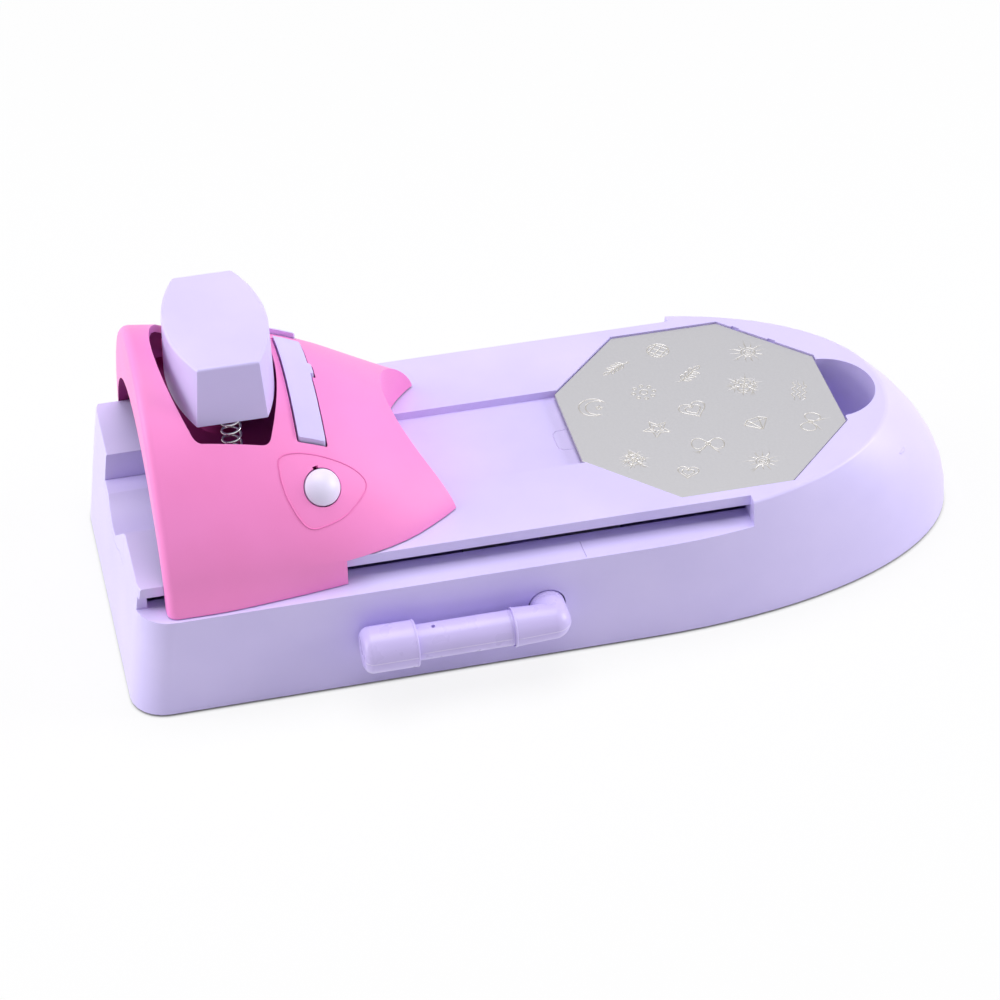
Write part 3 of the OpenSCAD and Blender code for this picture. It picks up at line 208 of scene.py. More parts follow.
def linear(rgb):
    """Scene-linear colour of an sRGB colour given as 0 to 255."""
    c = np.array(rgb, float) / 255
    return (*np.where(c <= 0.04045, c / 12.92, ((c + 0.055) / 1.055) ** 2.4).tolist(), 1.0)


def plastic(name, rgb, rough=0.38, grain=0.6, depth=0.02, soft=0.0, shine=0.5):
    """Moulded plastic: wide faint cloudiness in its colour, and fine grain of that many millimetres in its
    roughness and its bump, which is depth millimetres deep. Soft is the share of light that seeps in."""
    made, tree, out = new_material(name)
    shader = tree.nodes.new("ShaderNodeBsdfPrincipled")
    place = tree.nodes.new("ShaderNodeTexCoord")

    def noise(size_mm, detail):
        node = tree.nodes.new("ShaderNodeTexNoise")
        node.inputs["Scale"].default_value = 1000 / size_mm
        node.inputs["Detail"].default_value = detail
        tree.links.new(place.outputs["Object"], node.inputs["Vector"])
        return node

    def spread(source, low, high):
        node = tree.nodes.new("ShaderNodeMapRange")
        node.inputs["From Min"].default_value = NOISE_LOW
        node.inputs["From Max"].default_value = NOISE_HIGH
        node.inputs["To Min"].default_value = low
        node.inputs["To Max"].default_value = high
        tree.links.new(source.outputs["Fac"], node.inputs["Value"])
        return node.outputs[0]

    colour = linear(rgb)
    ramp = tree.nodes.new("ShaderNodeMix")
    ramp.data_type = "RGBA"
    ramp.inputs["A"].default_value = (*[c * (1 - CLOUD_TONE) for c in colour[:3]], 1)
    ramp.inputs["B"].default_value = (*[min(1, c * (1 + CLOUD_TONE)) for c in colour[:3]], 1)
    tree.links.new(spread(noise(CLOUD_MM, 3), 0, 1), ramp.inputs["Factor"])
    tree.links.new(ramp.outputs["Result"], shader.inputs["Base Color"])
    fine = noise(grain, 2)
    tree.links.new(spread(fine, rough - SMOOTHER, rough + ROUGHER), shader.inputs["Roughness"])
    bump = tree.nodes.new("ShaderNodeBump")
    bump.inputs["Strength"].default_value = GRAIN_BUMP
    bump.inputs["Distance"].default_value = depth * MM
    tree.links.new(fine.outputs["Fac"], bump.inputs["Height"])
    tree.links.new(bump.outputs["Normal"], shader.inputs["Normal"])
    shader.inputs["IOR"].default_value = 1.5
    shader.inputs["Specular IOR Level"].default_value = shine
    shader.inputs["Subsurface Weight"].default_value = soft
    shader.inputs["Subsurface Radius"].default_value = SEEP
    shader.inputs["Subsurface Scale"].default_value = SEEP_SHARE
    tree.links.new(shader.outputs[0], out.inputs["Surface"])
    return made


def node_points(node):
    """Points of a CAD node's mesh, in metres, as rows."""
    source = nodes[node].data
    points = np.zeros(len(source.vertices) * 3)
    source.vertices.foreach_get("co", points)
    return points.reshape(-1, 3)


def moulded(name, node, edge, paint, body):
    """Moulded copy of a CAD node: its triangles joined, flat faces merged, and each hard edge rounded
    with a radius of edge millimetres."""
    source = nodes[node].data
    corners = np.zeros(len(source.loops), int)
    source.loops.foreach_get("vertex_index", corners)
    made = new_object(name, node_points(node), corners.reshape(-1, 3))
    work = bmesh.new()
    work.from_mesh(made.data)
    bmesh.ops.remove_doubles(work, verts=work.verts, dist=WELD * MM)
    bmesh.ops.dissolve_degenerate(work, edges=work.edges, dist=WELD * MM)
    bmesh.ops.dissolve_limit(work, angle_limit=FLAT_ANGLE, verts=work.verts, edges=work.edges)
    for face in work.faces:
        face.smooth = True
    work.to_mesh(made.data)
    work.free()
    if edge:
        bevel = made.modifiers.new("soft edge", "BEVEL")
        bevel.width = edge * MM
        bevel.segments = 3 if edge < 1 else 5
        bevel.limit_method = "ANGLE"
        bevel.angle_limit = HARD_ANGLE
        bevel.miter_outer = "MITER_ARC"
    level_out = made.modifiers.new("even shading", "WEIGHTED_NORMAL")
    level_out.keep_sharp = True
    level_out.weight = FACE_WEIGHT
    made.data.materials.append(paint)
    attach(made, body)
    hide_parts(node)
    return made


base_paint = plastic("base_plastic", LAVENDER)
moulded("base_moulding", "base_shell", 0.35, base_paint, "base")
moulded("finger_rest_moulding", "finger_rest", 0.3, base_paint, "base")

# Tab mark beside the plate and the join across the near ledge, with the cover and the feet below.
# The marks are fine raised lines that the mould leaves on the lavender ABS; the feet are glued rubber.
TRACK_Z = 38.5
LEDGE_Z = 33.2
JOIN_WIDE, JOIN_HIGH = 0.22, 0.05
TAB_WIDE, TAB_HIGH = 0.35, 0.1
TAB_POINTS = 60


def ridge(name, line, up, width, high, paint, body, closed=False):
    """Fine moulded line of elliptic section along a path on a surface: point = path + width/2 cos(u) side
    + high sin(u) up, in millimetres, with u once round."""
    line = np.asarray(line, float)
    up = np.broadcast_to(np.asarray(up, float), line.shape)
    ahead = np.roll(line, -1, 0) - np.roll(line, 1, 0) if closed else np.gradient(line, axis=0)
    ahead /= np.linalg.norm(ahead, axis=1, keepdims=True)
    side = np.cross(up, ahead)
    u = np.linspace(0, 2 * math.pi, 8, endpoint=False)
    ring = (
        line[:, None]
        + width / 2 * np.cos(u)[None, :, None] * side[:, None]
        + high * np.sin(u)[None, :, None] * up[:, None]
    )
    n, m = len(line), len(u)
    i, j = np.meshgrid(np.arange(n if closed else n - 1), np.arange(m), indexing="ij")
    k, after = (j + 1) % m, (i + 1) % n
    faces = np.stack([i * m + j, after * m + j, after * m + k, i * m + k], -1).reshape(-1, 4).tolist()
    if not closed:
        faces += [list(range(m)), list(range((n - 1) * m, n * m))[::-1]]
    made = new_object(name, ring.reshape(-1, 3) * MM, faces)
    made.data.materials.append(paint)
    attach(made, body)


def finish_nodes(material, *names):
    """Gives CAD nodes that stay as they are this material."""
    for name in names:
        mesh = nodes[name].data
        mesh.materials.clear()
        mesh.materials.append(material)


line_paint = plastic("base_line_plastic", (206, 194, 244))
join_paint = plastic("ledge_join_plastic", (176, 160, 218))
join = np.array([[3.2, -43.4, LEDGE_Z], [3.25, -47, LEDGE_Z], [3.4, -50.4, LEDGE_Z]])
ridge("ledge_join", join, (0, 0, 1), JOIN_WIDE, JOIN_HIGH, join_paint, "base")
TAB = [[10.2, 1.9], [7.4, 1.7], [6.3, 0.7], [6.1, -1.0], [6.1, -4.8], [6.4, -6.6], [7.4, -7.5], [10.2, -7.6]]
mark = np.array(TAB)
t = np.linspace(0, len(mark) - 1, TAB_POINTS)
outline = np.stack([np.interp(t, np.arange(len(mark)), mark[:, c]) for c in (0, 1)], -1)
tab_line = np.column_stack([outline, np.full(TAB_POINTS, TRACK_Z)])
ridge("tab_mark", tab_line, (0, 0, 1), TAB_WIDE, TAB_HIGH, line_paint, "base")
finish_nodes(base_paint, "bottom_cover")
rubber = plastic("foot_rubber", (88, 88, 94), rough=0.75, grain=0.5, depth=0.04)
finish_nodes(rubber, "rubber_feet")


# Screws, axle, shaft clip and scraper blade: small turned or stamped steel parts, zinc plated.
# The screws of the cover, finger rest, gearbox and bridge go in from below, and the rack's from above.
METAL_TONE, METAL_BUMP, METAL_DEPTH = 0.06, 0.4, 0.004
MARKS_SMOOTHER, MARKS_ROUGHER = 0.06, 0.08


def metal(name, rgb, rough, grain, etched=None):
    """Bare metal: fine marks of that many millimetres in its roughness, tone and bump, and another colour
    where the piece's etch value is 1."""
    made, tree, out = new_material(name)
    shader = tree.nodes.new("ShaderNodeBsdfPrincipled")
    shader.inputs["Metallic"].default_value = 1.0
    place = tree.nodes.new("ShaderNodeTexCoord")
    marks = tree.nodes.new("ShaderNodeTexNoise")
    marks.inputs["Scale"].default_value = 1000 / grain
    marks.inputs["Detail"].default_value = 4
    tree.links.new(place.outputs["Object"], marks.inputs["Vector"])
    tone = tree.nodes.new("ShaderNodeMix")
    tone.data_type = "RGBA"
    colour = linear(rgb)
    tone.inputs["A"].default_value = (*[c * (1 - METAL_TONE) for c in colour[:3]], 1)
    tone.inputs["B"].default_value = (*[min(1, c * (1 + METAL_TONE)) for c in colour[:3]], 1)
    tree.links.new(marks.outputs["Fac"], tone.inputs["Factor"])
    last = tone.outputs["Result"]
    if etched:
        bitten = tree.nodes.new("ShaderNodeAttribute")
        bitten.attribute_name = "etch"
        matt = tree.nodes.new("ShaderNodeMix")
        matt.data_type = "RGBA"
        matt.inputs["B"].default_value = linear(etched)
        tree.links.new(last, matt.inputs["A"])
        tree.links.new(bitten.outputs["Fac"], matt.inputs["Factor"])
        last = matt.outputs["Result"]
    tree.links.new(last, shader.inputs["Base Color"])
    gloss = tree.nodes.new("ShaderNodeMapRange")
    gloss.inputs["To Min"].default_value = rough - MARKS_SMOOTHER
    gloss.inputs["To Max"].default_value = rough + MARKS_ROUGHER
    tree.links.new(marks.outputs["Fac"], gloss.inputs["Value"])
    tree.links.new(gloss.outputs[0], shader.inputs["Roughness"])
    bump = tree.nodes.new("ShaderNodeBump")
    bump.inputs["Strength"].default_value = METAL_BUMP
    bump.inputs["Distance"].default_value = METAL_DEPTH * MM
    tree.links.new(marks.outputs["Fac"], bump.inputs["Height"])
    tree.links.new(bump.outputs["Normal"], shader.inputs["Normal"])
    tree.links.new(shader.outputs[0], out.inputs["Surface"])
    return made


steel = metal("plated_steel", (205, 206, 210), 0.28, 1.4)
finish_nodes(steel, "cover_screws", "rest_screws", "gearbox_screws", "rack_screws", "bridge_screws")
finish_nodes(steel, "idler_axle", "shaft_clip", "scraper_blade")

# Drive inside the base, the slider under the carriage and the stamp's stem: natural white acetal.
# Injection moulded and slightly waxy. The frame is screwed to the cover and the rack to the slider,
# and the idler runs on a steel pin.
white_plastic = plastic("white_acetal", (236, 235, 238), rough=0.42, grain=0.8, soft=0.05)
finish_nodes(
    white_plastic, "gearbox_frame", "idler_gear", "crank_gear", "rack", "slider_frame", "stamp_stem"
)

# Pattern plate: an octagon cut from brushed steel sheet, with little motifs etched into it in fine lines.
# The etching takes a warmer grey, and the sheet's edge is broken by a hair.
ETCH_DEPTH = 0.11
ETCH_FLOOR = 0.07
ETCH_EDGE = 0.22
PLATE_EDGE = 0.15
CORNER_BAND = 0.5
MERGE = 0.03
LINE_STEP = 0.4
FIELD_STEP = 2.0
FIELD_HALF = 40
FIELD_CLEAR = 1.0
RIM_CLEAR = 0.8
FAR = 9.0


def circle(r, cx=0.0, cy=0.0, n=20, start=0.0, sweep=360.0):
    """Arc of radius r about a centre: (cx + r cos a, cy + r sin a)."""
    a = np.radians(np.linspace(start, start + sweep, n + 1))
    return np.stack([cx + r * np.cos(a), cy + r * np.sin(a)], -1)


def turned(line, degrees, scale=1.0, x=0.0, y=0.0):
    """Line scaled, turned about the origin and moved."""
    a = math.radians(degrees)
    spin = np.array([[math.cos(a), math.sin(a)], [-math.sin(a), math.cos(a)]])
    return np.asarray(line) @ spin * scale + (x, y)


def star(points, inner):
    """Star outline: corners at radius 1 and at the inner radius by turns."""
    a = np.radians(90 + np.arange(2 * points + 1) * 180 / points)
    r = np.where(np.arange(2 * points + 1) % 2 == 0, 1.0, inner)
    return np.stack([r * np.cos(a), r * np.sin(a)], -1)


def heart(size):
    """Heart: x = 16 sin^3 t, y = 13 cos t - 5 cos 2t - 2 cos 3t - cos 4t, over 17."""
    t = np.linspace(0, 2 * math.pi, 41)
    x = 16 * np.sin(t) ** 3
    y = 13 * np.cos(t) - 5 * np.cos(2 * t) - 2 * np.cos(3 * t) - np.cos(4 * t)
    return np.stack([x, y + 2], -1) / 17 * size


def leaf(length, width):
    """Leaf along +X: y = width sin(pi x / length), there and back."""
    x = np.linspace(0, length, 11)
    y = width * np.sin(math.pi * x / length)
    return np.concatenate([np.stack([x, y], -1), np.stack([x[::-1], -y[::-1]], -1)])


def sprig():
    """Curved stem with a leaf at its tip and three pairs along it."""
    x = np.linspace(-1, 0.45, 14)
    stem = np.stack([x, 0.12 * np.sin(2.2 * x)], -1)
    leaves = [turned(leaf(0.55, 0.13), 8, 1, 0.45, 0.1)]
    for place in (-0.7, -0.3, 0.1):
        for way in (-1, 1):
            leaves.append(turned(leaf(0.5, 0.11), 48 * way, 1, place, 0.12 * math.sin(2.2 * place)))
    return [stem, *leaves]


def crystal():
    """Six arms with two pairs of barbs each, and a hexagon in the middle."""
    lines = [turned([[0.0, 0], [0.95, 0]], 60 * k) for k in range(6)]
    for k in range(6):
        for at, barb in ((0.45, 0.22), (0.7, 0.18)):
            for way in (-1, 1):
                lines.append(turned([[at, 0], [at + barb * 0.6, way * barb]], 60 * k))
    return [*lines, circle(0.25, n=6)]


def bow():
    """Two loops of the lemniscate x = cos t / (1 + sin^2 t), y = x sin t, a knot and two tails."""
    t = np.linspace(0, 2 * math.pi, 49)
    x = np.cos(t) / (1 + np.sin(t) ** 2)
    tails = [[[0.08, -0.12], [0.3, -0.5], [0.55, -0.75]], [[-0.08, -0.12], [-0.3, -0.5], [-0.55, -0.75]]]
    return [np.stack([x, 1.5 * x * np.sin(t)], -1), circle(0.16, n=12), *map(np.array, tails)]


def crescent():
    """Outer arc and inner arc that meet in two horns, with a small star between them."""
    return [
        circle(0.95, n=30, start=50, sweep=260),
        circle(0.76, 0.27, 0, n=26, start=74, sweep=212),
        star(5, 0.42) * 0.28 + (0.42, 0.0),
    ]


def gem():
    """Cut stone from the side: crown, girdle and pavilion with their facets."""
    top, wide, foot = [[-0.5, 0.55], [0.5, 0.55]], [[-0.95, 0.15], [0.95, 0.15]], [0, -0.9]
    outline = [top[0], top[1], wide[1], foot, wide[0], top[0]]
    facets = [[wide[0], wide[1]], [top[0], [-0.35, 0.15], foot, [0.35, 0.15], top[1]]]
    return [np.array(line, float) for line in (outline, *facets)]


def waves():
    """Three sine lines, one above the other."""
    x = np.linspace(-0.95, 0.95, 33)
    return [np.stack([x, 0.13 * np.sin(9 * x) + y], -1) for y in (-0.4, 0, 0.4)]


def dots():
    """Ring of eight small circles about a larger one."""
    a = np.radians(np.arange(8) * 45)
    return [circle(0.3, n=14), *(circle(0.14, 0.78 * math.cos(v), 0.78 * math.sin(v), n=8) for v in a)]


def lattice():
    """Circle crossed by chords both ways."""
    lines = [circle(0.92, n=36)]
    for y in (-0.55, 0.0, 0.55):
        half = math.sqrt(0.92**2 - y**2)
        lines += [turned([[-half, y], [half, y]], 45), turned([[-half, y], [half, y]], -45)]
    return lines


def sun():
    """Small circle with a swirl in it and twelve rays."""
    t = np.linspace(0, 4 * math.pi, 30)
    swirl = np.stack([np.cos(t), np.sin(t)], -1) * (0.36 * t / t[-1])[:, None]
    rays = [turned([[0.58, 0], [0.95 if k % 2 else 0.8, 0]], 30 * k) for k in range(12)]
    return [circle(0.46, n=24), swirl, *rays]


def hearts():
    """Heart within a heart."""
    return [heart(0.95), heart(0.55)]


def stars():
    """Five-pointed star within another."""
    return [star(5, 0.45), star(5, 0.45) * 0.5]


# Motif, distance from the plate's centre in millimetres, bearing, half width and turn.
layout = [
    (hearts, 2.0, 200, 4.6, 12),
    (crystal, 17.5, 25, 4.4, 10),
    (sprig, 17.0, 84, 5.2, 30),
    (dots, 18.0, 141, 4.0, 0),
    (stars, 16.5, 205, 4.2, 20),
    (bow, 17.5, 262, 4.8, -12),
    (gem, 18.0, 322, 4.0, 15),
    (waves, 31.0, 2, 4.0, 70),
    (sun, 32.0, 47, 4.6, 0),
    (lattice, 31.0, 98, 3.6, 0),
    (sprig, 31.5, 128, 4.6, 200),
    (crescent, 31.5, 166, 4.4, -20),
    (crystal, 32.0, 218, 3.6, 0),
    (hearts, 31.5, 248, 3.4, -20),
    (sun, 31.0, 290, 4.2, 15),
    (bow, 33.0, 334, 4.4, 60),
]
plate_points = node_points("pattern_plate") / MM
plate_low, plate_top = plate_points[:, 2].min(), plate_points[:, 2].max()
rim = np.unique(np.round(plate_points[plate_points[:, 2] > plate_top - 0.01][:, :2], 3), axis=0)
middle = (rim.max(0) + rim.min(0)) / 2
reach = np.linalg.norm(rim - middle, axis=1)
rim = rim[reach > reach.max() - CORNER_BAND] - middle
rim = rim[np.argsort(np.arctan2(rim[:, 1], rim[:, 0]))]
strokes = []
for motif, away, bearing, size, spin in layout:
    bearing = math.radians(bearing)
    for line in motif():
        line = turned(line, spin, size, away * math.cos(bearing), away * math.sin(bearing))
        walked = np.concatenate([[0], np.cumsum(np.linalg.norm(np.diff(line, axis=0), axis=1))])
        steps = max(2, int(walked[-1] / LINE_STEP) + 1)
        t = np.linspace(0, walked[-1], steps)
        strokes.append(np.stack([np.interp(t, walked, line[:, c]) for c in (0, 1)], -1))


def distance(points, line):
    """Least distance of each point to a line of straight pieces."""
    a, d = line[:-1], np.diff(line, axis=0)
    t = np.einsum("pkc,kc->pk", points[:, None] - a, d) / np.maximum((d**2).sum(1), 1e-9)
    foot = a + np.clip(t, 0, 1)[..., None] * d
    return np.linalg.norm(points[:, None] - foot, axis=2).min(1)


sown = []
for line in strokes:
    ahead = np.gradient(line, axis=0)
    side = np.stack([-ahead[:, 1], ahead[:, 0]], -1)
    side /= np.maximum(np.linalg.norm(ahead, axis=1), 1e-9)[:, None]
    sown += [line + offset * side for offset in (-ETCH_EDGE, -ETCH_FLOOR, ETCH_FLOOR, ETCH_EDGE)]
sown = np.concatenate(sown)
grid = np.arange(-FIELD_HALF, FIELD_HALF, FIELD_STEP)
coarse = np.stack(np.meshgrid(grid, grid), -1).reshape(-1, 2)
inner_rim = rim * (1 - PLATE_EDGE / np.linalg.norm(rim, axis=1).max())
edge_turn = np.roll(inner_rim, -1, 0) - inner_rim
outwards = np.stack([edge_turn[:, 1], -edge_turn[:, 0]], -1)
outwards /= np.linalg.norm(outwards, axis=1, keepdims=True)
inside = ((coarse[:, None] - inner_rim) * outwards).sum(2).max(1) < -RIM_CLEAR
coarse = coarse[inside]
near = np.full(len(coarse), FAR)
for line in strokes:
    near = np.minimum(near, distance(coarse, line))
flat = np.concatenate([inner_rim, sown, coarse[near > FIELD_CLEAR]])
made = geometry.delaunay_2d_cdt(
    [Vector(v) for v in flat.tolist()], [], [list(range(len(inner_rim)))], 1, MERGE
)
flat = np.array([tuple(v) for v in made[0]])
near = np.full(len(flat), FAR)
for line in strokes:
    near = np.minimum(near, distance(flat, line))
etched = np.clip((ETCH_EDGE - near) / (ETCH_EDGE - ETCH_FLOOR), 0, 1)
top = np.column_stack([flat + middle, plate_top - ETCH_DEPTH * etched])
outer = rim + middle
levels = (plate_top - PLATE_EDGE, plate_low)
skirt = np.concatenate([np.column_stack([outer, np.full(len(rim), z)]) for z in levels])
n, base_count = len(rim), len(top)
corner = [int(np.linalg.norm(flat - v, axis=1).argmin()) for v in inner_rim]
faces = [list(f) for f in made[2]]
for k in range(n):
    j = (k + 1) % n
    faces.append([corner[k], base_count + k, base_count + j, corner[j]])
    faces.append([base_count + k, base_count + n + k, base_count + n + j, base_count + j])
faces.append([base_count + n + k for k in range(n)][::-1])
plate = new_object("etched_plate", np.concatenate([top, skirt]) * MM, faces, False)
etch = plate.data.attributes.new("etch", "FLOAT", "POINT")
etch.data.foreach_set("value", np.concatenate([etched, np.zeros(len(skirt))]))
plate_steel = metal("plate_steel", (186, 185, 189), 0.4, 0.7, etched=(180, 176, 170))
plate.data.materials.append(plate_steel)
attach(plate, "plate")
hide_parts("pattern_plate")

# Carriage shell: one swallow-tailed moulding of pink satin ABS, with soft edges, clipped on the slider.
# Its inward faces away from the tail's curve, the bridge and the button cups are the same pink with painted
# shade: a dark pink that stands in for the shade inside the shell and the knob's opening.
PINK = (255, 144, 213)
pink = plastic("pink_plastic", PINK, rough=0.45, shine=0.42)
shell = moulded("carriage_moulding", "carriage_shell", 0.35, pink, "carriage")
painted_shade_pink = plastic("inner_pink_painted_shade", (150, 46, 114), rough=0.7, shine=0.15)
shell.data.materials.append(painted_shade_pink)
count = len(shell.data.polygons)
middles, normals = np.zeros(count * 3), np.zeros(count * 3)
shell.data.polygons.foreach_get("center", middles)
shell.data.polygons.foreach_get("normal", normals)
# Painted shade: faces that turn inwards, except those behind the tail's curve, take the dark shaded pink.
AXIS_Z, INWARD = 30, -0.3
outwards = middles.reshape(-1, 3) * (0, 1, 1) - (0, 0, AXIS_Z * MM)
outwards /= np.linalg.norm(outwards, axis=1, keepdims=True)
inside = (outwards * normals.reshape(-1, 3)).sum(1) < INWARD
TAIL_X, TAIL_R, TAIL_SLACK = -5.3, 38.7, 0.4
from_tail = np.hypot(middles[0::3] - TAIL_X * MM, middles[1::3])
inside &= from_tail > (TAIL_R + TAIL_SLACK) * MM
shell.data.polygons.foreach_set("material_index", inside.astype(int))
moulded("bridge_moulding", "stamp_bridge", 0.2, painted_shade_pink, "carriage")
finish_nodes(painted_shade_pink, "button_cup_front", "button_cup_rear")

# Shield-shaped line round each side button: a fine raised line of the shell's own moulding, painted a darker
# pink as painted shade standing in for a scribed groove.
# It follows the shell's skin, on a closed curve through nine points.
SHELL_END_X, ARCH_Z, CREST, SHELL_HALF, ARCH_POWER = -115.6, 41.3, 50.4, 48.0, 1.35
STATIONS = np.array([[16, 2.8, 0.1], [31, 6.8, 0.7], [45, 12.4, 1.2], [57, 18.8, 3.2], [70, 27.2, 7.4]])


def shell_skin(x, y):
    """Height of the shell's outer skin: arch + high (1 - (y / wide)^2)^(1 / power), where high and wide
    fall off along the shell through its stations."""
    s = x - SHELL_END_X
    high = CREST - np.polyval(np.polyfit(STATIONS[:, 0], STATIONS[:, 1], 4), s)
    wide = SHELL_HALF - np.polyval(np.polyfit(STATIONS[:, 0], STATIONS[:, 2], 4), s)
    return ARCH_Z + high * (1 - (y / wide) ** 2) ** (1 / ARCH_POWER)


SHIELD_TOP = [[-78.4, 30.3], [-69.9, 29.2], [-59.4, 30.3], [-55.7, 33.6]]
SHIELD_FOOT = [[-61.9, 39.5], [-70.0, 42.4], [-74.9, 42.2], [-78.6, 38.3], [-79.8, 33.8]]
SHIELD_COUNT, SHIELD_WIDE, SHIELD_HIGH = 140, 0.45, 0.14
SLOPE_STEP = 0.05
shield = np.array(SHIELD_TOP + SHIELD_FOOT)
t = np.linspace(0, len(shield), SHIELD_COUNT, endpoint=False)
k, w = t.astype(int), (t % 1)[:, None]
p0, p1, p2, p3 = (shield[(k + d) % len(shield)] for d in (-1, 0, 1, 2))
shield = 0.5 * (
    2 * p1 + (p2 - p0) * w + (2 * p0 - 5 * p1 + 4 * p2 - p3) * w**2 + (3 * p1 - p0 - 3 * p2 + p3) * w**3
)
# Painted shade: the line's darker pink stands in for the shade in a scribed groove.
shield_shade_paint = plastic("pink_line_painted_shade", (240, 122, 194), rough=0.42)
for side, name in ((-1, "shield_line_front"), (1, "shield_line_rear")):
    x, y = shield[:, 0], side * shield[:, 1]
    slope_x = (shell_skin(x + SLOPE_STEP, y) - shell_skin(x - SLOPE_STEP, y)) / (2 * SLOPE_STEP)
    slope_y = (shell_skin(x, y + SLOPE_STEP) - shell_skin(x, y - SLOPE_STEP)) / (2 * SLOPE_STEP)
    up = np.column_stack([-slope_x, -slope_y, np.ones(len(x))])
    up /= np.linalg.norm(up, axis=1, keepdims=True)
    line = np.column_stack([x, y, shell_skin(x, y)])
    if side > 0:
        line, up = line[::-1], up[::-1]
    ridge(name, line, up, SHIELD_WIDE, SHIELD_HIGH, shield_shade_paint, "carriage", closed=True)

# Knob, scraper, side buttons and stamp holder: paler lavender ABS than the base, injection moulded.
# The knob is a tall soft-edged cap on the stamp's stem; the silicone pad is pressed into the holder.
PALE = (214, 202, 254)
pale = plastic("pale_plastic", PALE, rough=0.36)
moulded("knob_moulding", "push_knob", 1.5, pale, "stamp")
moulded("scraper_moulding", "scraper_holder", 0.4, pale, "scraper")
button_paint = plastic("button_plastic", (234, 226, 255), rough=0.36)
moulded("button_front_moulding", "side_button_front", 0.2, button_paint, "button_front")
moulded("button_rear_moulding", "side_button_rear", 0.2, button_paint, "button_rear")
moulded("stamp_holder_moulding", "stamp_holder", 0.3, pale, "stamp")
silicone = plastic("pad_silicone", (238, 238, 242), rough=0.3, soft=0.2)
finish_nodes(silicone, "stamp_pad")

# Crank: four lavender mouldings pushed together, a stub shaft, an elbow, an arm and a barrel cap.
# Smoother than the base, with fine mould lines along the arm and round its joints; the lines along the arm,
# cap and elbow are painted paler, a painted highlight where they catch the light.
CRANK = (205, 191, 244)
crank_paint = plastic("crank_plastic", CRANK, rough=0.3, grain=6, depth=0)
moulded("crank_shaft_moulding", "crank_shaft", 0.2, crank_paint, "crank")
moulded("crank_elbow_moulding", "crank_elbow", 0.3, crank_paint, "crank")
moulded("crank_arm_moulding", "crank_arm", 0.2, crank_paint, "crank")
moulded("crank_cap_moulding", "crank_cap", 0.3, crank_paint, "crank")
CRANK_X, CRANK_Y, CRANK_Z, CRANK_R = -8.5, -58.9, 18.9, 5.1
CAP_R, CAP_END_R, ELBOW_END, CAP_START, CAP_END = 6.65, 2.6, -20.0, -48.02, -63.52
MOULD_LINE, MOULD_LINE_HIGH, CAP_LINE_HIGH = 0.22, 0.06, 0.07
ARM_POINTS, SPAN_POINTS, RING_POINTS = 12, 8, 72
# Painted highlight: the mould lines' paler lavender stands in for the light they catch.
crank_line_highlight_paint = plastic("crank_line_painted_highlight", (226, 216, 252), rough=0.3, grain=6, depth=0)


def part_line(name, spans, high):
    """Mould line in the level plane of the crank's axis: straight spans and arcs of (x, y) with their
    outward directions, joined end to end."""
    places = np.concatenate([span[0] for span in spans])
    out = np.concatenate([span[1] for span in spans])
    line = np.column_stack([places, np.full(len(places), CRANK_Z)])
    up = np.column_stack([out, np.zeros(len(out))])
    ridge(name, line, up, MOULD_LINE, high, crank_line_highlight_paint, "crank")


def bend(cx, cy, r, start, stop, n=12):
    """Arc of radius r about a centre, between two bearings in degrees, facing outwards."""
    a = np.radians(np.linspace(start, stop, n))
    out = np.stack([np.cos(a), np.sin(a)], -1)
    return (cx, cy) + r * out, out


front_y = CRANK_Y - CRANK_R
facing_front = np.array([[0.0, -1.0]])
arm_x = np.linspace(ELBOW_END - 1, CAP_START, ARM_POINTS)
arm_line = np.column_stack([arm_x, np.full(ARM_POINTS, front_y)])
part_line("arm_mould_line", [(arm_line, np.repeat(facing_front, ARM_POINTS, 0))], MOULD_LINE_HIGH)
cap_x = np.linspace(CAP_START - 0.7, CAP_END + CAP_END_R, SPAN_POINTS)
cap_line = np.column_stack([cap_x, np.full(SPAN_POINTS, CRANK_Y - CAP_R)])
part_line(
    "cap_mould_line",
    [
        (cap_line, np.repeat(facing_front, SPAN_POINTS, 0)),
        bend(CAP_END + CAP_END_R, CRANK_Y - CAP_R + CAP_END_R, CAP_END_R, 265, 180),
    ],
    CAP_LINE_HIGH,
)
elbow_x = np.linspace(ELBOW_END + 0.3, CRANK_X, SPAN_POINTS)
elbow_y = np.interp(elbow_x, [ELBOW_END, CRANK_X], [front_y - 0.5, front_y])
elbow_line = np.column_stack([elbow_x, elbow_y])
part_line(
    "elbow_mould_line",
    [
        (elbow_line, np.repeat(facing_front, SPAN_POINTS, 0)),
        bend(CRANK_X, CRANK_Y, CRANK_R, 275, 360),
    ],
    MOULD_LINE_HIGH,
)
for name, x, r, width, high in (
    ("elbow_collar", ELBOW_END - 0.1, CRANK_R + 0.45, 0.7, 0.22),
    ("elbow_collar_line", ELBOW_END - 1.3, CRANK_R, 0.35, 0.1),
    ("cap_lip", CAP_START - 0.45, CAP_R - 0.1, 0.8, 0.22),
):
    a = np.linspace(0, 2 * math.pi, RING_POINTS, endpoint=False)
    out = np.column_stack([np.zeros(RING_POINTS), np.cos(a), np.sin(a)])
    ring = (x, CRANK_Y, CRANK_Z) + r * out
    ridge(name, ring, out, width, high, crank_paint, "crank", closed=True)


# Springs: bright steel wire wound as open coils with closed ends.
# Two stand under the knob, two under the scraper, and one lies behind each side button.
STAMP_WIRE, STAMP_TURNS, STAMP_TRAVEL = 0.75, 5, 10
SCRAPER_WIRE, SCRAPER_TURNS, SCRAPER_TRAVEL = 0.45, 4, 2.2
BUTTON_WIRE, BUTTON_TURNS = 0.45, 3
CLOSED_TURN, CLOSED_RISE = 0.75, 0.06
TURN_STEPS, WIRE_SIDES = 28, 12


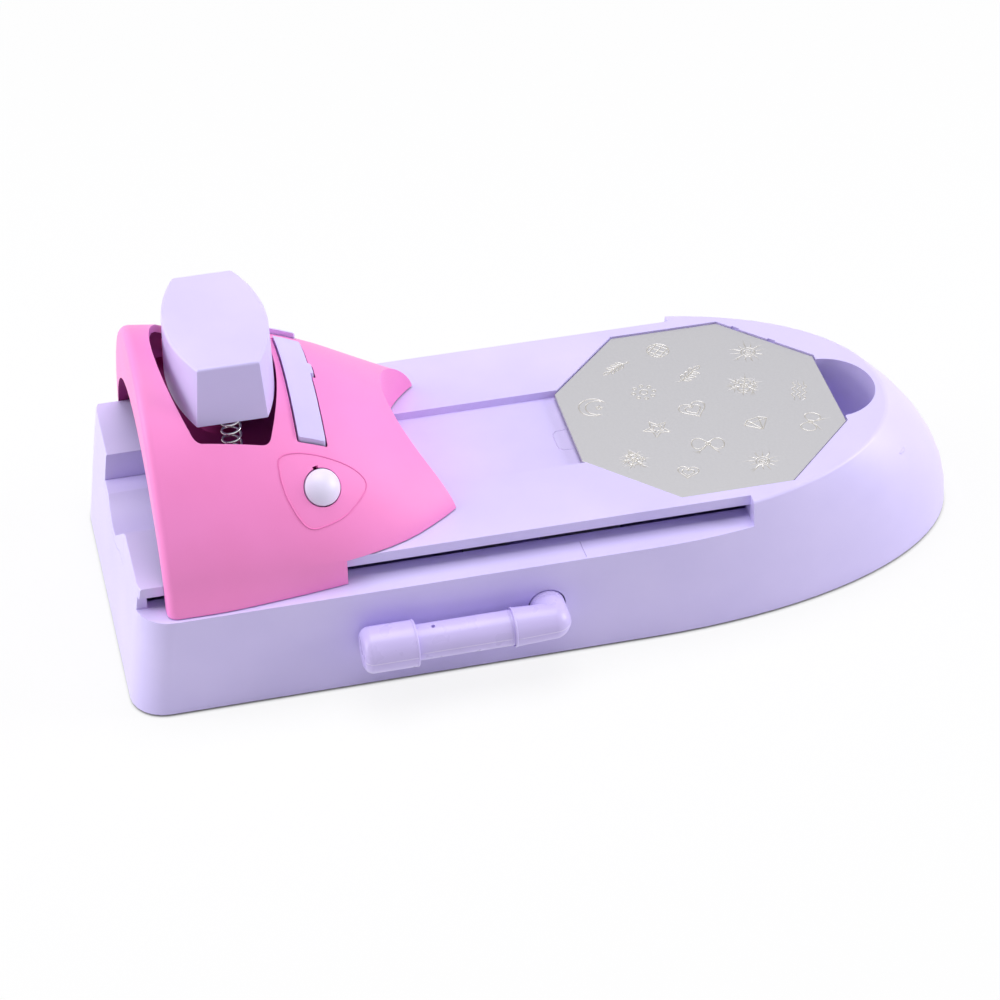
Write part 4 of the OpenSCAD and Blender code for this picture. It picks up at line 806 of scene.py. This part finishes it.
def wound(node, body, axis, wire, turns):
    """Round wire swept along a helix where the CAD spring is: point = foot + r cos(a) out + r sin(a) side
    + z(a) axis, with z nearly level over the first and last three quarters of a turn."""
    points = node_points(node) / MM
    axis = np.array(axis, float) / np.linalg.norm(axis)
    along = points @ axis
    across = points - along[:, None] * axis
    centre = (across.max(0) + across.min(0)) / 2
    foot = centre + axis * (along.min() - centre @ axis)
    high = along.max() - along.min()
    radius = np.linalg.norm(across - centre, axis=1).max() - wire / 2
    out = np.cross(axis, (0, 1, 0.2))
    out /= np.linalg.norm(out)
    side = np.cross(axis, out)
    total = turns + 2 * CLOSED_TURN
    t = np.linspace(0, total, int(total * TURN_STEPS))
    open_rise = (1 - CLOSED_RISE) * np.clip((t - CLOSED_TURN) / turns, 0, 1)
    z = wire / 2 + (high - wire) * (CLOSED_RISE * t / total + open_rise)
    angle = 2 * math.pi * t
    outwards = np.cos(angle)[:, None] * out + np.sin(angle)[:, None] * side
    u = np.linspace(0, 2 * math.pi, WIRE_SIDES, endpoint=False)
    ring = (
        (foot + radius * outwards + z[:, None] * axis)[:, None]
        + wire / 2 * np.cos(u)[None, :, None] * outwards[:, None]
        + wire / 2 * np.sin(u)[None, :, None] * axis
    )
    n, m = len(t), len(u)
    i, j = np.meshgrid(np.arange(n - 1), np.arange(m), indexing="ij")
    k = (j + 1) % m
    faces = np.stack([i * m + j, i * m + k, (i + 1) * m + k, (i + 1) * m + j], -1).reshape(-1, 4)
    faces = [*faces.tolist(), list(range(m))[::-1], list(range((n - 1) * m, n * m))]
    made = new_object(node + "_wire", ring.reshape(-1, 3) * MM, faces)
    work = bmesh.new()
    work.from_mesh(made.data)
    bmesh.ops.recalc_face_normals(work, faces=work.faces)
    work.to_mesh(made.data)
    work.free()
    made.data.materials.append(spring_steel)
    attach(made, body)
    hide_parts(node)
    return made, tuple((foot * MM).tolist()), high


spring_steel = metal("spring_steel", (238, 238, 242), 0.2, 0.9)
for node, joint, travel, wire, turns in (
    ("stamp_spring_front", "stamp_press", STAMP_TRAVEL, STAMP_WIRE, STAMP_TURNS),
    ("stamp_spring_rear", "stamp_press", STAMP_TRAVEL, STAMP_WIRE, STAMP_TURNS),
    ("scraper_spring_front", "scraper_press", SCRAPER_TRAVEL, SCRAPER_WIRE, SCRAPER_TURNS),
    ("scraper_spring_rear", "scraper_press", SCRAPER_TRAVEL, SCRAPER_WIRE, SCRAPER_TURNS),
):
    made, foot, high = wound(node, "carriage", (0, 0, 1), wire, turns)
    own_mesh(made)
for joint, node in (
    ("button_front_press", "button_spring_front"),
    ("button_rear_press", "button_spring_rear"),
):
    press = next(j for j in frame["joints"] if j["name"] == joint)
    wound(node, "carriage", press["axis"], BUTTON_WIRE, BUTTON_TURNS)
